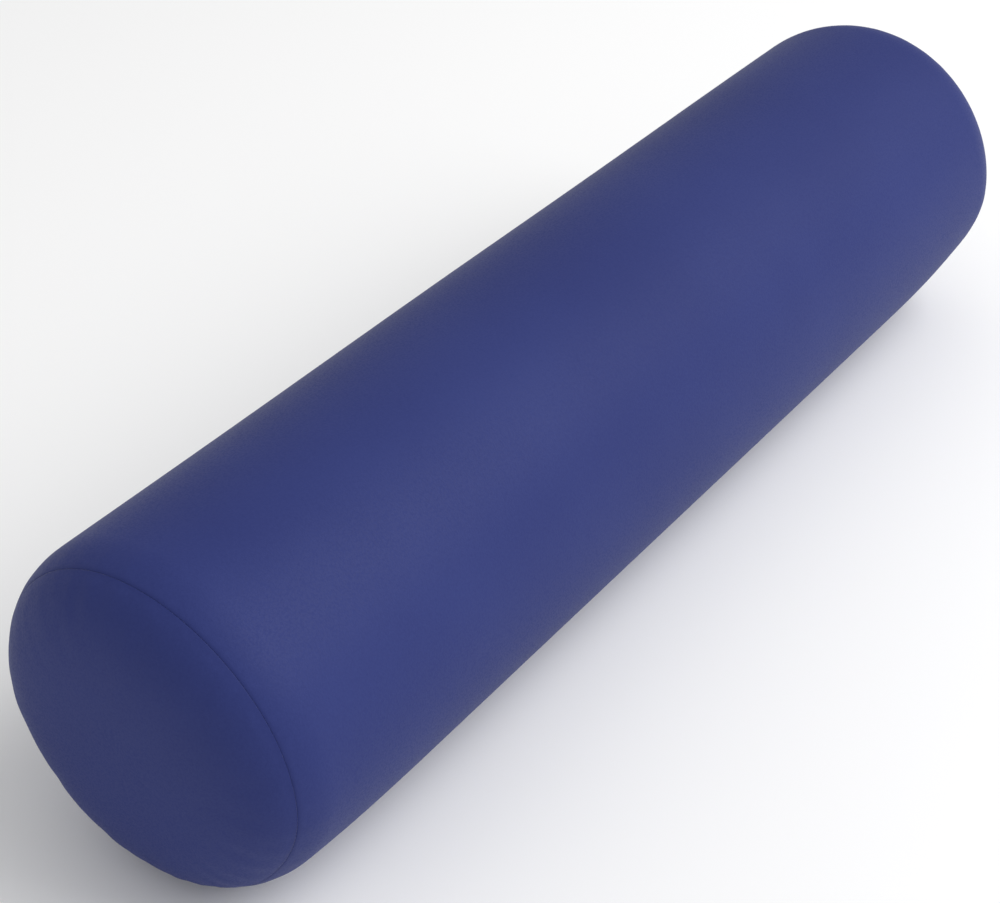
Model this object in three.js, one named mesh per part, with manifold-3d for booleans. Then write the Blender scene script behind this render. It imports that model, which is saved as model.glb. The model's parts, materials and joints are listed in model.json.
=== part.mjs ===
// A covered massage roll: a foam cylinder wrapped in wadding, inside a zipped leatherette cover.
// It lies on its side along X. Millimetres, +Z up. The origin is on the surface it rests on, under
// the middle of the roll. Left is -X, the front is -Y, and the zip runs along the back.
import * as THREE from 'three';
import { mergeVertices } from 'three/addons/utils/BufferGeometryUtils.js';
import Module from 'manifold-3d';

const wasm = await Module();
wasm.setup();

// ---- Driving dimensions ----------------------------------------------------------------------

const ROLL_RADIUS = 75;
const ROLL_LENGTH = 600; // over the middles of the two ends
const FIT_GAP = 0.3; // air between pieces that touch on the real roll

const COVER_THICKNESS = 1.2; // leatherette, one ply
const END_CROWN = 3; // how far the middle of an end stands proud of its shoulder
const SHOULDER_LENGTH = 30; // how far along the roll the rounded shoulder takes to turn
const END_FLATNESS = 5.5; // power of the end outline: higher keeps the end flat further out
const SEAM_TURN = 58; // degrees of the shoulder's turn at which the end panel meets the body
const SEAM_GAP_TURN = 1.1; // degrees from that line to each folded edge
const FOLD_ROUND_TURN = 1.3; // degrees that the rounding of each folded edge takes
const FOLD_ROUND_DEPTH = 0.7;
const ALLOWANCE_TURN = 15; // degrees of shoulder that the seam allowance is folded back over

const WADDING_RADIUS = ROLL_RADIUS - COVER_THICKNESS - FIT_GAP;
const FOAM_RADIUS = 65.2;
const FOAM_CHAMFER = 6;
const END_PAD_THICKNESS = 11.3; // at the middle of the end

const ZIP_ABOVE_BACK = 15; // degrees that the zip lies above the roll's backmost line
const ZIP_OPENING = 490;
const ZIP_WINDOW = 10; // between the two folded cover edges
const HEM_REACH = 15; // from the middle of the zip to the inner edge of each folded hem
const CLOSING_SEAM_GAP = 1.1; // between the cover edges where they are sewn, past the zip
const TAPE_THICKNESS = 0.7;
const TAPE_LENGTH = 524;
const TAPE_EDGE = 0.5; // from the middle of the zip to the tape's beaded edge
const TAPE_REACH = 13.5;
const COIL_LENGTH = 480;
const COIL_WIDTH = 2.6;
const COIL_HEIGHT = 2;
const STOP_LENGTH = 2.7;

const SLIDER_LENGTH = 13;
const SLIDER_WIDTH = 9;
const SLIDER_PLATE = 1.2; // thickness of its upper plate
const SLIDER_KEEL = 1.1; // and of its lower one
const SLIDER_FLANGE = 1.1;
const SLIDER_WEB = 0.4; // the wedge between the coil rows, as thin as their gap allows
const BAIL_LEG_X = 3.5; // from the middle of the slider to the middle of each leg of its bail
const BAIL_LEG = 1.2;
const BAIL_WIDTH = 2.2;
const BAIL_OPENING = 2.5; // height of the eye that the pull's bar turns in
const BAIL_BAR = 1;
const PULL_LENGTH = 27; // from its pivot
const PULL_TAIL = 0.9; // behind the pivot
const PULL_WIDTH = 7.6;
const PULL_THICKNESS = 1.4;
const PULL_ARM = 1.7; // width of each arm beside the bail
const PIVOT_BAR_RADIUS = 0.8;

const THREAD = 0.5;
const THREAD_DEPTH = 0.7; // from the surface down to the thread in a seam
const TOPSTITCH_LENGTH = 500;
const BARTACK_WIDTH = 2;
const BARTACK_OVERLAP = 2; // past each side of the zip's opening
const CHAMFER = 0.6; // on the small parts of the zip

const SIDES = 48; // flats round the roll
const FLAT_TURN = (2 * Math.PI) / SIDES;
// Turns at which the end outline is sampled; every layer uses the same ones, so they nest.
const DOME_TURNS = [0, 5, 14, 25, 37, 48];
const SHOULDER_TURNS = [66, 76, 90];

// The lowest corner of each ring is pressed up level with its two neighbours, which makes the
// flat strip that a soft roll rests on.
const AXIS_HEIGHT = ROLL_RADIUS * Math.cos(FLAT_TURN);
const SHOULDER_END = END_CROWN + SHOULDER_LENGTH;
const BODY_STRAIGHT = ROLL_LENGTH - 2 * SHOULDER_END;

// Heights over the roll's axis at the zip, from the cover inwards
const HEM_UNDERSIDE = ROLL_RADIUS - 2 * COVER_THICKNESS;
const TAPE_TOP = HEM_UNDERSIDE - FIT_GAP;
const TAPE_UNDERSIDE = TAPE_TOP - TAPE_THICKNESS;
const COIL_FOOT = TAPE_TOP + FIT_GAP;
const COIL_TOP = COIL_FOOT + COIL_HEIGHT;
const SLIDER_PLATE_FOOT = COIL_TOP + FIT_GAP;
const SLIDER_TOP = SLIDER_PLATE_FOOT + SLIDER_PLATE;
const SLIDER_KEEL_TOP = TAPE_UNDERSIDE - 2 * FIT_GAP;
const SLIDER_KEEL_FOOT = SLIDER_KEEL_TOP - SLIDER_KEEL;
const SLIDER_FLANGE_FOOT = COIL_FOOT + FIT_GAP / 2;
const SLIDER_REST_X = (SLIDER_LENGTH - COIL_LENGTH) / 2 + FIT_GAP;
const PIVOT_HEIGHT = SLIDER_TOP + BAIL_OPENING / 2;

// ---- Materials -------------------------------------------------------------------------------

const leatherette = new THREE.MeshStandardMaterial({ color: 0x3f4880, roughness: 0.55 });
const thread = new THREE.MeshStandardMaterial({ color: 0x2c3263, roughness: 0.8 });
const zipTape = new THREE.MeshStandardMaterial({ color: 0x262c58, roughness: 0.9 });
const zipCoil = new THREE.MeshStandardMaterial({ color: 0x2b3166, roughness: 0.4 });
const zipMetal = new THREE.MeshStandardMaterial({ color: 0x9a9ca0, roughness: 0.35, metalness: 1 });
const wadding = new THREE.MeshStandardMaterial({ color: 0xeeeeea, roughness: 1 });
const foam = new THREE.MeshStandardMaterial({ color: 0xe6e0c8, roughness: 0.95 });

// ---- Solids ----------------------------------------------------------------------------------

function solidOf(geometry) {
	const bare = geometry.clone();
	bare.deleteAttribute('normal');
	bare.deleteAttribute('uv');
	const merged = mergeVertices(bare, 1e-4);
	return new wasm.Manifold(new wasm.Mesh({
		numProp: 3,
		vertProperties: merged.getAttribute('position').array,
		triVerts: new Uint32Array(merged.index.array),
	}));
}

function geometryOf(solid) {
	const { vertProperties, triVerts } = solid.getMesh();
	const geometry = new THREE.BufferGeometry();
	geometry.setAttribute('position', new THREE.BufferAttribute(vertProperties, 3));
	geometry.setIndex(new THREE.BufferAttribute(triVerts, 1));
	return geometry;
}

const join = (first, ...others) =>
	geometryOf(others.reduce((solid, other) => solid.add(solidOf(other)), solidOf(first)));

const cut = (first, ...others) =>
	geometryOf(others.reduce((solid, other) => solid.subtract(solidOf(other)), solidOf(first)));

const common = (first, second) => geometryOf(solidOf(first).intersect(solidOf(second)));

// ---- Shapes of revolution --------------------------------------------------------------------

/** A point of the end outline, as [distance from the tip, radius], at a turn in degrees: 0 is the
 *  middle of the end and 90 is where the straight body starts. depth is how far inside it lies. */
function endPoint(turnDegrees, depth = 0) {
	const turn = THREE.MathUtils.degToRad(turnDegrees);
	if (turn === 0) return [depth, 0];
	const share = Math.sin(turn) ** (2 / END_FLATNESS);
	const shareRate = (2 / END_FLATNESS) * share * Math.cos(turn) / Math.sin(turn);
	const tangent = new THREE.Vector2(
		2 * END_CROWN * share * shareRate + SHOULDER_LENGTH * Math.sin(turn),
		ROLL_RADIUS * shareRate,
	).normalize();
	const along = END_CROWN * share ** 2 + SHOULDER_LENGTH * (1 - Math.cos(turn));
	return [along + tangent.y * depth, ROLL_RADIUS * share - tangent.x * depth];
}

const endPoints = (turns, depth) => turns.map((turn) => endPoint(turn, depth));

/** Turns an outline of [distance from the left tip, radius] points round the roll's axis, and
 *  flattens the underside where the roll rests. */
function turned(outline) {
	const points = outline.map(([along, radius]) => new THREE.Vector2(radius, along - ROLL_LENGTH / 2));
	const geometry = new THREE.LatheGeometry([...points, points[0]], SIDES);
	geometry.rotateZ(-Math.PI / 2);
	const position = geometry.getAttribute('position');
	for (let i = 0; i < position.count; i++) {
		const lowest = Math.abs(position.getY(i)) < 1e-3 && position.getZ(i) < 0;
		if (lowest) position.setZ(i, position.getZ(i) * Math.cos(FLAT_TURN));
	}
	return geometry;
}

const mirrored = (outline) => outline.map(([along, radius]) => [ROLL_LENGTH - along, radius]).reverse();

// ---- Strips along the zip, in the zip's own frame: X along it, Y across it, Z out of the roll ---

const zipTurn = new THREE.Matrix4()
	.makeRotationX(THREE.MathUtils.degToRad(ZIP_ABOVE_BACK - 90));

/** Extrudes a shape drawn across (x) and outwards (y) along the roll, centred on centreX. */
function strip(shape, length, centreX = 0) {
	const geometry = new THREE.ExtrudeGeometry(shape, { depth: length, bevelEnabled: false });
	geometry.translate(0, 0, -length / 2);
	geometry.applyMatrix4(new THREE.Matrix4().makeBasis(
		new THREE.Vector3(0, 1, 0), new THREE.Vector3(0, 0, 1), new THREE.Vector3(1, 0, 0)));
	return geometry.translate(centreX, 0, 0);
}

/** Extrudes a shape drawn along (x) and outwards (y) across the zip, centred on it. */
function crosswise(shape, width) {
	const geometry = new THREE.ExtrudeGeometry(shape, { depth: width, bevelEnabled: false });
	return geometry.translate(0, 0, -width / 2).rotateX(Math.PI / 2);
}

const polygon = (points) => new THREE.Shape(points.map(([x, y]) => new THREE.Vector2(x, y)));

/** A bent strip's section: it follows the flats of the roll from one angle to the other. */
function arcSection(innerRadius, outerRadius, fromAngle, toAngle) {
	const corners = [fromAngle];
	for (let k = Math.ceil(fromAngle / FLAT_TURN); k * FLAT_TURN < toAngle; k++) {
		if (k * FLAT_TURN > fromAngle) corners.push(k * FLAT_TURN);
	}
	corners.push(toAngle);
	const onFlat = (radius, angle) => {
		const fromMiddle = angle - (Math.floor(angle / FLAT_TURN) + 0.5) * FLAT_TURN;
		const reach = radius * Math.cos(FLAT_TURN / 2) / Math.cos(fromMiddle);
		return [reach * Math.sin(angle), reach * Math.cos(angle)];
	};
	return polygon([
		...corners.map((angle) => onFlat(innerRadius, angle)),
		...corners.reverse().map((angle) => onFlat(outerRadius, angle)),
	]);
}

const angleAt = (across) => Math.asin(across / ROLL_RADIUS);

/** From the middle of the roll out past its surface: as far as a cutting shape has to reach. */
const CUT_FLOOR = ROLL_RADIUS / 2;
const CUT_ROOF = ROLL_RADIUS + 5;

/** The same section on the upper (-1) or the lower (+1) side of the zip. */
const sideSection = (side, innerRadius, outerRadius, from, to) => (side > 0
	? arcSection(innerRadius, outerRadius, angleAt(from), angleAt(to))
	: arcSection(innerRadius, outerRadius, -angleAt(to), -angleAt(from)));

function box(sizeX, sizeY, fromZ, toZ, centreX = 0) {
	return new THREE.BoxGeometry(sizeX, sizeY, toZ - fromZ)
		.translate(centreX, 0, (fromZ + toZ) / 2);
}

// ---- The cover -------------------------------------------------------------------------------

const BODY_EDGE_TURN = SEAM_TURN + SEAM_GAP_TURN;
const BODY_FOLD_END = BODY_EDGE_TURN + ALLOWANCE_TURN;
const PANEL_EDGE_TURN = SEAM_TURN - SEAM_GAP_TURN;
const PANEL_FOLD_END = PANEL_EDGE_TURN - ALLOWANCE_TURN;

/** One wrapped panel: its long edges are folded under and meet along the back. */
function coverBody() {
	const outside = endPoints([BODY_EDGE_TURN + FOLD_ROUND_TURN, ...SHOULDER_TURNS], 0);
	const inside = [
		endPoint(BODY_EDGE_TURN, FOLD_ROUND_DEPTH),
		...endPoints([BODY_EDGE_TURN, SHOULDER_TURNS[0], BODY_FOLD_END], 2 * COVER_THICKNESS),
		...endPoints([BODY_FOLD_END, ...SHOULDER_TURNS.slice(1)], COVER_THICKNESS),
	];
	const tube = turned([...outside, ...mirrored(outside), ...mirrored(inside).reverse(),
		...inside.reverse()]);

	const hems = [-1, 1].map((side) => strip(
		sideSection(side, HEM_UNDERSIDE, ROLL_RADIUS - COVER_THICKNESS / 2, TAPE_EDGE, HEM_REACH),
		BODY_STRAIGHT,
	).applyMatrix4(zipTurn));
	const grooves = [-1, 1].map((side) => strip(
		stitchSection(side, THREAD + 2 * FIT_GAP, ROLL_RADIUS - THREAD - FIT_GAP, CUT_ROOF),
		TOPSTITCH_LENGTH + 2 * FIT_GAP,
	).applyMatrix4(zipTurn));
	const closingSlit = box(ROLL_LENGTH, CLOSING_SEAM_GAP, CUT_FLOOR, CUT_ROOF);
	const zipWindow = box(ZIP_OPENING, ZIP_WINDOW, CUT_FLOOR, CUT_ROOF);
	return cut(join(tube, ...hems), ...grooves,
		closingSlit.applyMatrix4(zipTurn), zipWindow.applyMatrix4(zipTurn));
}

/** The round panel that closes an end, with its edge folded under. */
function endPanel() {
	return turned([
		...endPoints([...DOME_TURNS, PANEL_EDGE_TURN - FOLD_ROUND_TURN], 0),
		endPoint(PANEL_EDGE_TURN, FOLD_ROUND_DEPTH),
		...endPoints([PANEL_EDGE_TURN, DOME_TURNS.at(-1), PANEL_FOLD_END], 2 * COVER_THICKNESS),
		...endPoints([PANEL_FOLD_END, ...DOME_TURNS.slice(0, -1).reverse()], COVER_THICKNESS),
	]);
}

/** The thread that shows in the groove of an end seam. */
function endSeamThread() {
	const halfTurn = SEAM_GAP_TURN * THREAD / 2 / (THREAD / 2 + FIT_GAP);
	return turned([
		...endPoints([SEAM_TURN - halfTurn, SEAM_TURN + halfTurn], THREAD_DEPTH),
		...endPoints([SEAM_TURN + halfTurn, SEAM_TURN - halfTurn], THREAD_DEPTH + THREAD),
	]);
}

/** The thread of the seam that runs on from the zip's left end, over the shoulder. */
function closingSeamThread() {
	const inFrame = ([along, radius]) => [along - ROLL_LENGTH / 2, radius];
	const zipEnd = -ZIP_OPENING / 2 - 2 * FIT_GAP;
	const turns = [BODY_EDGE_TURN + 2 * FOLD_ROUND_TURN, ...SHOULDER_TURNS];
	return crosswise(polygon([
		...endPoints(turns, THREAD_DEPTH).map(inFrame),
		[zipEnd, ROLL_RADIUS - THREAD_DEPTH],
		[zipEnd, ROLL_RADIUS - THREAD_DEPTH - THREAD],
		...endPoints(turns, THREAD_DEPTH + THREAD).map(inFrame).reverse(),
	]), THREAD);
}

// ---- The filling -----------------------------------------------------------------------------

const PAD_DEPTH = 2 * COVER_THICKNESS + FIT_GAP;
const FOAM_END = PAD_DEPTH + END_PAD_THICKNESS + FIT_GAP; // from the tip

/** A cup of wadding over an end of the foam, which rounds the end off. */
function waddingPad() {
	const lining = FOAM_RADIUS + FIT_GAP;
	const floor = PAD_DEPTH + END_PAD_THICKNESS;
	return turned([
		...endPoints([...DOME_TURNS, SEAM_TURN, SHOULDER_TURNS[0], BODY_FOLD_END], PAD_DEPTH),
		...endPoints(SHOULDER_TURNS.slice(1), COVER_THICKNESS + FIT_GAP),
		[SHOULDER_END, lining],
		[floor + FOAM_CHAMFER, lining],
		[floor, lining - FOAM_CHAMFER],
		[floor, 0],
	]);
}

/** The wadding wrapped round the foam, pressed in under the zip. */
function waddingSleeve() {
	const start = SHOULDER_END + FIT_GAP;
	const end = ROLL_LENGTH - start;
	const lining = FOAM_RADIUS + FIT_GAP;
	const sleeve = turned([
		[start, WADDING_RADIUS], [end, WADDING_RADIUS], [end, lining], [start, lining],
	]);
	const reach = angleAt(HEM_REACH + 3 * FIT_GAP);
	const underTape = strip(
		arcSection(TAPE_UNDERSIDE - FIT_GAP, CUT_ROOF, -reach, reach), ROLL_LENGTH);
	const underSlider = box(
		ZIP_OPENING, SLIDER_WIDTH + 6 * FIT_GAP, SLIDER_KEEL_FOOT - FIT_GAP, CUT_ROOF);
	return cut(sleeve, underTape.applyMatrix4(zipTurn), underSlider.applyMatrix4(zipTurn));
}

function foamCore() {
	const end = ROLL_LENGTH - FOAM_END;
	return turned([
		[FOAM_END, 0],
		[FOAM_END, FOAM_RADIUS - FOAM_CHAMFER],
		[FOAM_END + FOAM_CHAMFER, FOAM_RADIUS],
		[end - FOAM_CHAMFER, FOAM_RADIUS],
		[end, FOAM_RADIUS - FOAM_CHAMFER],
		[end, 0],
	]);
}

// ---- The zip ---------------------------------------------------------------------------------

const zipTapeStrip = (side) => strip(
	sideSection(side, TAPE_UNDERSIDE, TAPE_TOP, TAPE_EDGE, TAPE_REACH), TAPE_LENGTH);

/** One row of the nylon coil, drawn as the bar that its closed turns fill. */
function coilRow(side) {
	const inner = side * TAPE_EDGE;
	const outer = side * (TAPE_EDGE + COIL_WIDTH);
	const inset = side * CHAMFER;
	return strip(polygon([
		[inner, COIL_FOOT], [outer, COIL_FOOT], [outer, COIL_TOP - CHAMFER],
		[outer - inset, COIL_TOP], [inner + inset, COIL_TOP], [inner, COIL_TOP - CHAMFER],
	]), COIL_LENGTH);
}

const STOP_X = COIL_LENGTH / 2 + FIT_GAP + STOP_LENGTH / 2;
const STOP_WIDTH = COIL_WIDTH + FIT_GAP;
const STOP_TOP = COIL_TOP + FIT_GAP;

/** One of the two stops that end the slider's travel where the zip is closed. */
const topStop = (side) => box(STOP_LENGTH, STOP_WIDTH, COIL_FOOT, STOP_TOP, -STOP_X)
	.translate(0, side * (TAPE_EDGE + STOP_WIDTH / 2), 0);

/** The stop that holds both tapes together at the other end. */
const bottomStop = () => box(
	STOP_LENGTH, 2 * (TAPE_EDGE + STOP_WIDTH), COIL_FOOT, STOP_TOP, STOP_X);

/** A band as wide as a stitch, centred on the roll's first corner beside the zip. */
function stitchSection(side, width, innerRadius, outerRadius) {
	const half = width / 2 / ROLL_RADIUS;
	return arcSection(
		innerRadius, outerRadius, side * FLAT_TURN - half, side * FLAT_TURN + half);
}

/** The row of stitches that holds one hem and its tape. */
const topstitch = (side) => strip(
	stitchSection(side, THREAD, ROLL_RADIUS - THREAD, ROLL_RADIUS), TOPSTITCH_LENGTH);

/** The block of stitches across the left end of the opening. */
function bartack() {
	const reach = angleAt(ZIP_WINDOW / 2 + BARTACK_OVERLAP);
	const foot = ROLL_RADIUS + FIT_GAP;
	return strip(arcSection(foot, foot + THREAD, -reach, reach), BARTACK_WIDTH,
		-(ZIP_OPENING + BARTACK_WIDTH) / 2 - FIT_GAP);
}

/** Both plates, the flanges and the web between them, all as long as the slider. */
function sliderRail() {
	const half = SLIDER_WIDTH / 2;
	const lip = half - SLIDER_FLANGE;
	const web = SLIDER_WEB / 2;
	const lower = [
		[half, SLIDER_TOP], [half, SLIDER_FLANGE_FOOT], [lip, SLIDER_FLANGE_FOOT],
		[lip, SLIDER_PLATE_FOOT], [web, SLIDER_PLATE_FOOT], [web, SLIDER_KEEL_TOP],
		[half, SLIDER_KEEL_TOP], [half, SLIDER_KEEL_FOOT],
	];
	const upper = lower.map(([across, out]) => [-across, out]).reverse();
	return strip(polygon([...lower, ...upper]), SLIDER_LENGTH);
}

/** The slider seen from above: round shoulders towards -X, where the open rows come in, and
 *  narrower at the other end, where they leave closed. */
function sliderPlan() {
	const nose = SLIDER_LENGTH / 2;
	const half = SLIDER_WIDTH / 2;
	const waist = half * 0.7;
	const plan = new THREE.Shape();
	plan.moveTo(nose, waist);
	plan.lineTo(nose, -waist);
	plan.quadraticCurveTo(nose / 5, -half, -nose / 2, -half);
	plan.quadraticCurveTo(-nose, -half, -nose, -half / 2);
	plan.lineTo(-nose, half / 2);
	plan.quadraticCurveTo(-nose, half, -nose / 2, half);
	plan.quadraticCurveTo(nose / 5, half, nose, waist);
	return plan;
}

/** The loop on the slider that holds the pull, drawn from the side. */
function sliderBail() {
	const legOuter = BAIL_LEG_X + BAIL_LEG / 2;
	const legInner = BAIL_LEG_X - BAIL_LEG / 2;
	const sunk = SLIDER_TOP - SLIDER_PLATE / 2;
	const under = SLIDER_TOP + BAIL_OPENING;
	const top = under + BAIL_BAR;
	return crosswise(polygon([
		[-legOuter, sunk], [-legInner, sunk], [-legInner, under], [legInner, under],
		[legInner, sunk], [legOuter, sunk], [legOuter, top - CHAMFER], [legOuter - CHAMFER, top],
		[CHAMFER - legOuter, top], [-legOuter, top - CHAMFER],
	]), BAIL_WIDTH);
}

/** The slider, about its own middle along the zip. */
function sliderBody() {
	const outline = new THREE.ExtrudeGeometry(sliderPlan(), {
		depth: CUT_ROOF - CUT_FLOOR, bevelEnabled: false, curveSegments: 5,
	}).translate(0, 0, CUT_FLOOR);
	return join(common(sliderRail(), outline), sliderBail());
}

/** The pull, about its pivot, lying along +X: two arms, a bar through the bail, and a grip. */
function pullTab() {
	const armInner = BAIL_WIDTH / 2 + FIT_GAP;
	const armOuter = armInner + PULL_ARM;
	const gripStart = BAIL_LEG_X + BAIL_LEG / 2 + 4 * FIT_GAP;
	const half = PULL_WIDTH / 2;
	const tip = PULL_LENGTH - half;
	const outline = new THREE.Shape();
	outline.moveTo(-PULL_TAIL, armInner);
	outline.lineTo(-PULL_TAIL, armOuter - CHAMFER);
	outline.lineTo(CHAMFER - PULL_TAIL, armOuter);
	outline.lineTo(gripStart, armOuter);
	outline.lineTo(tip, half);
	outline.absarc(tip, 0, half, Math.PI / 2, -Math.PI / 2, true);
	outline.lineTo(gripStart, -armOuter);
	outline.lineTo(CHAMFER - PULL_TAIL, -armOuter);
	outline.lineTo(-PULL_TAIL, CHAMFER - armOuter);
	outline.lineTo(-PULL_TAIL, -armInner);
	outline.lineTo(gripStart, -armInner);
	outline.lineTo(gripStart, armInner);
	const eye = new THREE.Path();
	eye.absarc(tip, 0, half / 2, 0, 2 * Math.PI);
	outline.holes.push(eye);
	const plate = new THREE.ExtrudeGeometry(outline, {
		depth: PULL_THICKNESS, bevelEnabled: false, curveSegments: 6,
	}).translate(0, 0, -PULL_THICKNESS / 2);
	const bar = new THREE.CylinderGeometry(
		PIVOT_BAR_RADIUS, PIVOT_BAR_RADIUS, armInner + armOuter, 12);
	return join(plate, bar);
}

// ---- The assembly ----------------------------------------------------------------------------

function piece(name, geometry, material) {
	const mesh = new THREE.Mesh(geometry, material);
	mesh.name = name;
	return mesh;
}

/** A left-hand piece and its right-hand twin: the same piece turned round to the other end. */
function bothEnds(name, geometry, material) {
	const left = piece(`${name}_left`, geometry, material);
	const right = piece(`${name}_right`, geometry, material);
	right.rotation.z = Math.PI;
	return [left, right];
}

const bothSides = (name, build, material) => [
	piece(`${name}_upper`, build(-1), material),
	piece(`${name}_lower`, build(1), material),
];

function zipAssembly() {
	const zip = new THREE.Group();
	zip.applyMatrix4(zipTurn);
	zip.add(
		...bothSides('zip_tape', zipTapeStrip, zipTape),
		...bothSides('zip_coil', coilRow, zipCoil),
		...bothSides('zip_top_stop', topStop, zipMetal),
		piece('zip_bottom_stop', bottomStop(), zipMetal),
		...bothSides('zip_topstitch', topstitch, thread),
		...bothEnds('zip_bartack', bartack(), thread),
		...bothEnds('closing_seam_thread', closingSeamThread(), thread),
	);

	const slider = new THREE.Group();
	slider.position.x = SLIDER_REST_X;
	const pull = piece('zip_pull', pullTab(), zipMetal);
	pull.position.z = PIVOT_HEIGHT;
	slider.add(piece('zip_slider', sliderBody(), zipMetal), pull);
	zip.add(slider);
	return zip;
}

const roll = new THREE.Group();
roll.position.z = AXIS_HEIGHT;
roll.add(
	piece('cover_body', coverBody(), leatherette),
	...bothEnds('end_panel', endPanel(), leatherette),
	...bothEnds('end_seam_thread', endSeamThread(), thread),
	...bothEnds('wadding_pad', waddingPad(), wadding),
	piece('wadding_sleeve', waddingSleeve(), wadding),
	piece('foam_core', foamCore(), foam),
	zipAssembly(),
);

const part = new THREE.Group();
part.add(roll);

export default part;
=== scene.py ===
# %% [markdown]
# # A massage roll in blue leatherette
# A foam cylinder wrapped in wadding, inside a sewn cover: one panel wrapped round it, a round
# panel sewn into each end, and a zip along the back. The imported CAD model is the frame. Soft
# pieces, stitches and the zip's coil are made here again as fine surfaces, in the same places.

# %% The frame
import json
import math

import bmesh
import bpy
import numpy as np
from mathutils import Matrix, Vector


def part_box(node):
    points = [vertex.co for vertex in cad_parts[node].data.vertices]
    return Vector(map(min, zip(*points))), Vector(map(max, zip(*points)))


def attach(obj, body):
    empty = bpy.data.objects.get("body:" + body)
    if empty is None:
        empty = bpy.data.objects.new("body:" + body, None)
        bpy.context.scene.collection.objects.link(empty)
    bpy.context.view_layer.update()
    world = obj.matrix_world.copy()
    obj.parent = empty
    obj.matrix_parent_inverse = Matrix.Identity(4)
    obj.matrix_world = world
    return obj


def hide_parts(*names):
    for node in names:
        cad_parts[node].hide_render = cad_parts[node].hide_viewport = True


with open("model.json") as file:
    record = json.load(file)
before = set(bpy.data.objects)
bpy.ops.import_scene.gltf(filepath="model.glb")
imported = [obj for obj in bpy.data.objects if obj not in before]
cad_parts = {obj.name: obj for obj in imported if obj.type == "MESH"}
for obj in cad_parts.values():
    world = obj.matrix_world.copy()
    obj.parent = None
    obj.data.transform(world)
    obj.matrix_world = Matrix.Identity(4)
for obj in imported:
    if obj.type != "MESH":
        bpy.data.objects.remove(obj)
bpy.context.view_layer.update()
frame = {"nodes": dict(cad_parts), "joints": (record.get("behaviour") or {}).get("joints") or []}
MM = 0.001

# %% [markdown]
# ## Sizes
# Every place comes from the frame: the radius and the length from the boxes of the CAD nodes, and
# the line of the zip from the hinge of its pull, which turns about an axis square to that line.

# %% Sizes from the frame
cover_low, cover_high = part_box("cover_body")
RADIUS = (cover_high.y - cover_low.y) / 2
AXIS_HEIGHT = cover_high.z - RADIUS
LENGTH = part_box("end_panel_right")[1].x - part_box("end_panel_left")[0].x
pull_hinge = next(j for j in frame["joints"] if j["name"] == "pull_swings")
ZIP_ANGLE = math.atan2(-pull_hinge["axis"][1], pull_hinge["axis"][2])
COIL_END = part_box("zip_coil_upper")[1].x
STITCH_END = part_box("zip_topstitch_upper")[1].x
print(f"roll {LENGTH / MM:.0f} x {2 * RADIUS / MM:.0f} mm, zip {math.degrees(ZIP_ANGLE):.0f} degrees up")

PLY = 1.2 * MM  # thickness of the leatherette
END_CROWN = 3 * MM
SHOULDER_LENGTH = 30 * MM
END_FLATNESS = 5.5
SEAM_TURN = 58  # degrees of the shoulder's turn where the end seam lies
THREAD = 0.5 * MM
ENDS = ((-1, "left"), (1, "right"))  # side of the roll, and the name of what lies there
ROWS = ((-1, "upper"), (1, "lower"))  # side of the zip

# %% [markdown]
# ## The shape that the filling gives
# The outline of an end is one curve. It is nearly flat in the middle and turns over a soft
# shoulder into the straight body. All layers use it, each at its own depth, so they nest like the
# real ones do.

# %% The outline of an end
def end_outline(turn, depth=0.0):
    """Distance from the tip and radius of the end outline, at a turn in degrees.

    The radius grows as the sine of the turn to a small power, so the end stays flat far out. The
    distance grows as one minus the cosine, plus the crown. depth moves the point straight in."""
    angle = np.radians(np.maximum(turn, 1e-6))
    share = np.sin(angle) ** (2 / END_FLATNESS)
    share_rate = (2 / END_FLATNESS) * share * np.cos(angle) / np.sin(angle)
    along_rate = 2 * END_CROWN * share * share_rate + SHOULDER_LENGTH * np.sin(angle)
    radius_rate = RADIUS * share_rate
    length = np.hypot(along_rate, radius_rate)
    along = END_CROWN * share**2 + SHOULDER_LENGTH * (1 - np.cos(angle))
    return along + depth * radius_rate / length, RADIUS * share - depth * along_rate / length


def smooth_step(low, high, value):
    """Rises from 0 at low to 1 at high, level at both ends."""
    share = np.clip((value - low) / (high - low), 0, 1)
    return share * share * (3 - 2 * share)


# %% [markdown]
# Sewn, stuffed things are never quite even. This adds up a few waves whose phases are drawn from
# a numbered random generator, so the result is smooth, closes round the roll, and is the same on
# every run.

# %% Soft unevenness
def waves(x, turn, size, across, along, seed, count=14):
    """A sum of sine waves on the roll's surface, each with whole numbers of waves round the roll
    (up to across) and a wavelength along it of at least along. Its usual height is size."""
    draw = np.random.default_rng(seed)
    total = 0
    for _ in range(count):
        lobes = draw.integers(1, across + 1)
        rate = draw.uniform(-2 * math.pi, 2 * math.pi) / along
        total = total + np.sin(lobes * turn + rate * x + draw.uniform(0, 2 * math.pi))
    return size * total / math.sqrt(count / 2)


# %% [markdown]
# The roll isn't stiff. It flattens where it rests, and under its own weight the filling creeps
# towards the middle, so the lower half of each shoulder is drawn in a little. Every soft layer
# goes through the same movement, in proportion to its radius, and so the layers stay apart.

# %% Where the soft roll settles
DRAWN_IN = {-1: 3 * MM, 1: 5 * MM}  # at the left and the right end
DRAWN_LENGTH = 45 * MM
UNEVENNESS = 0.22 * MM
EASED = 0.002  # over this share of the radius, the round section eases into the flat strip


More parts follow.
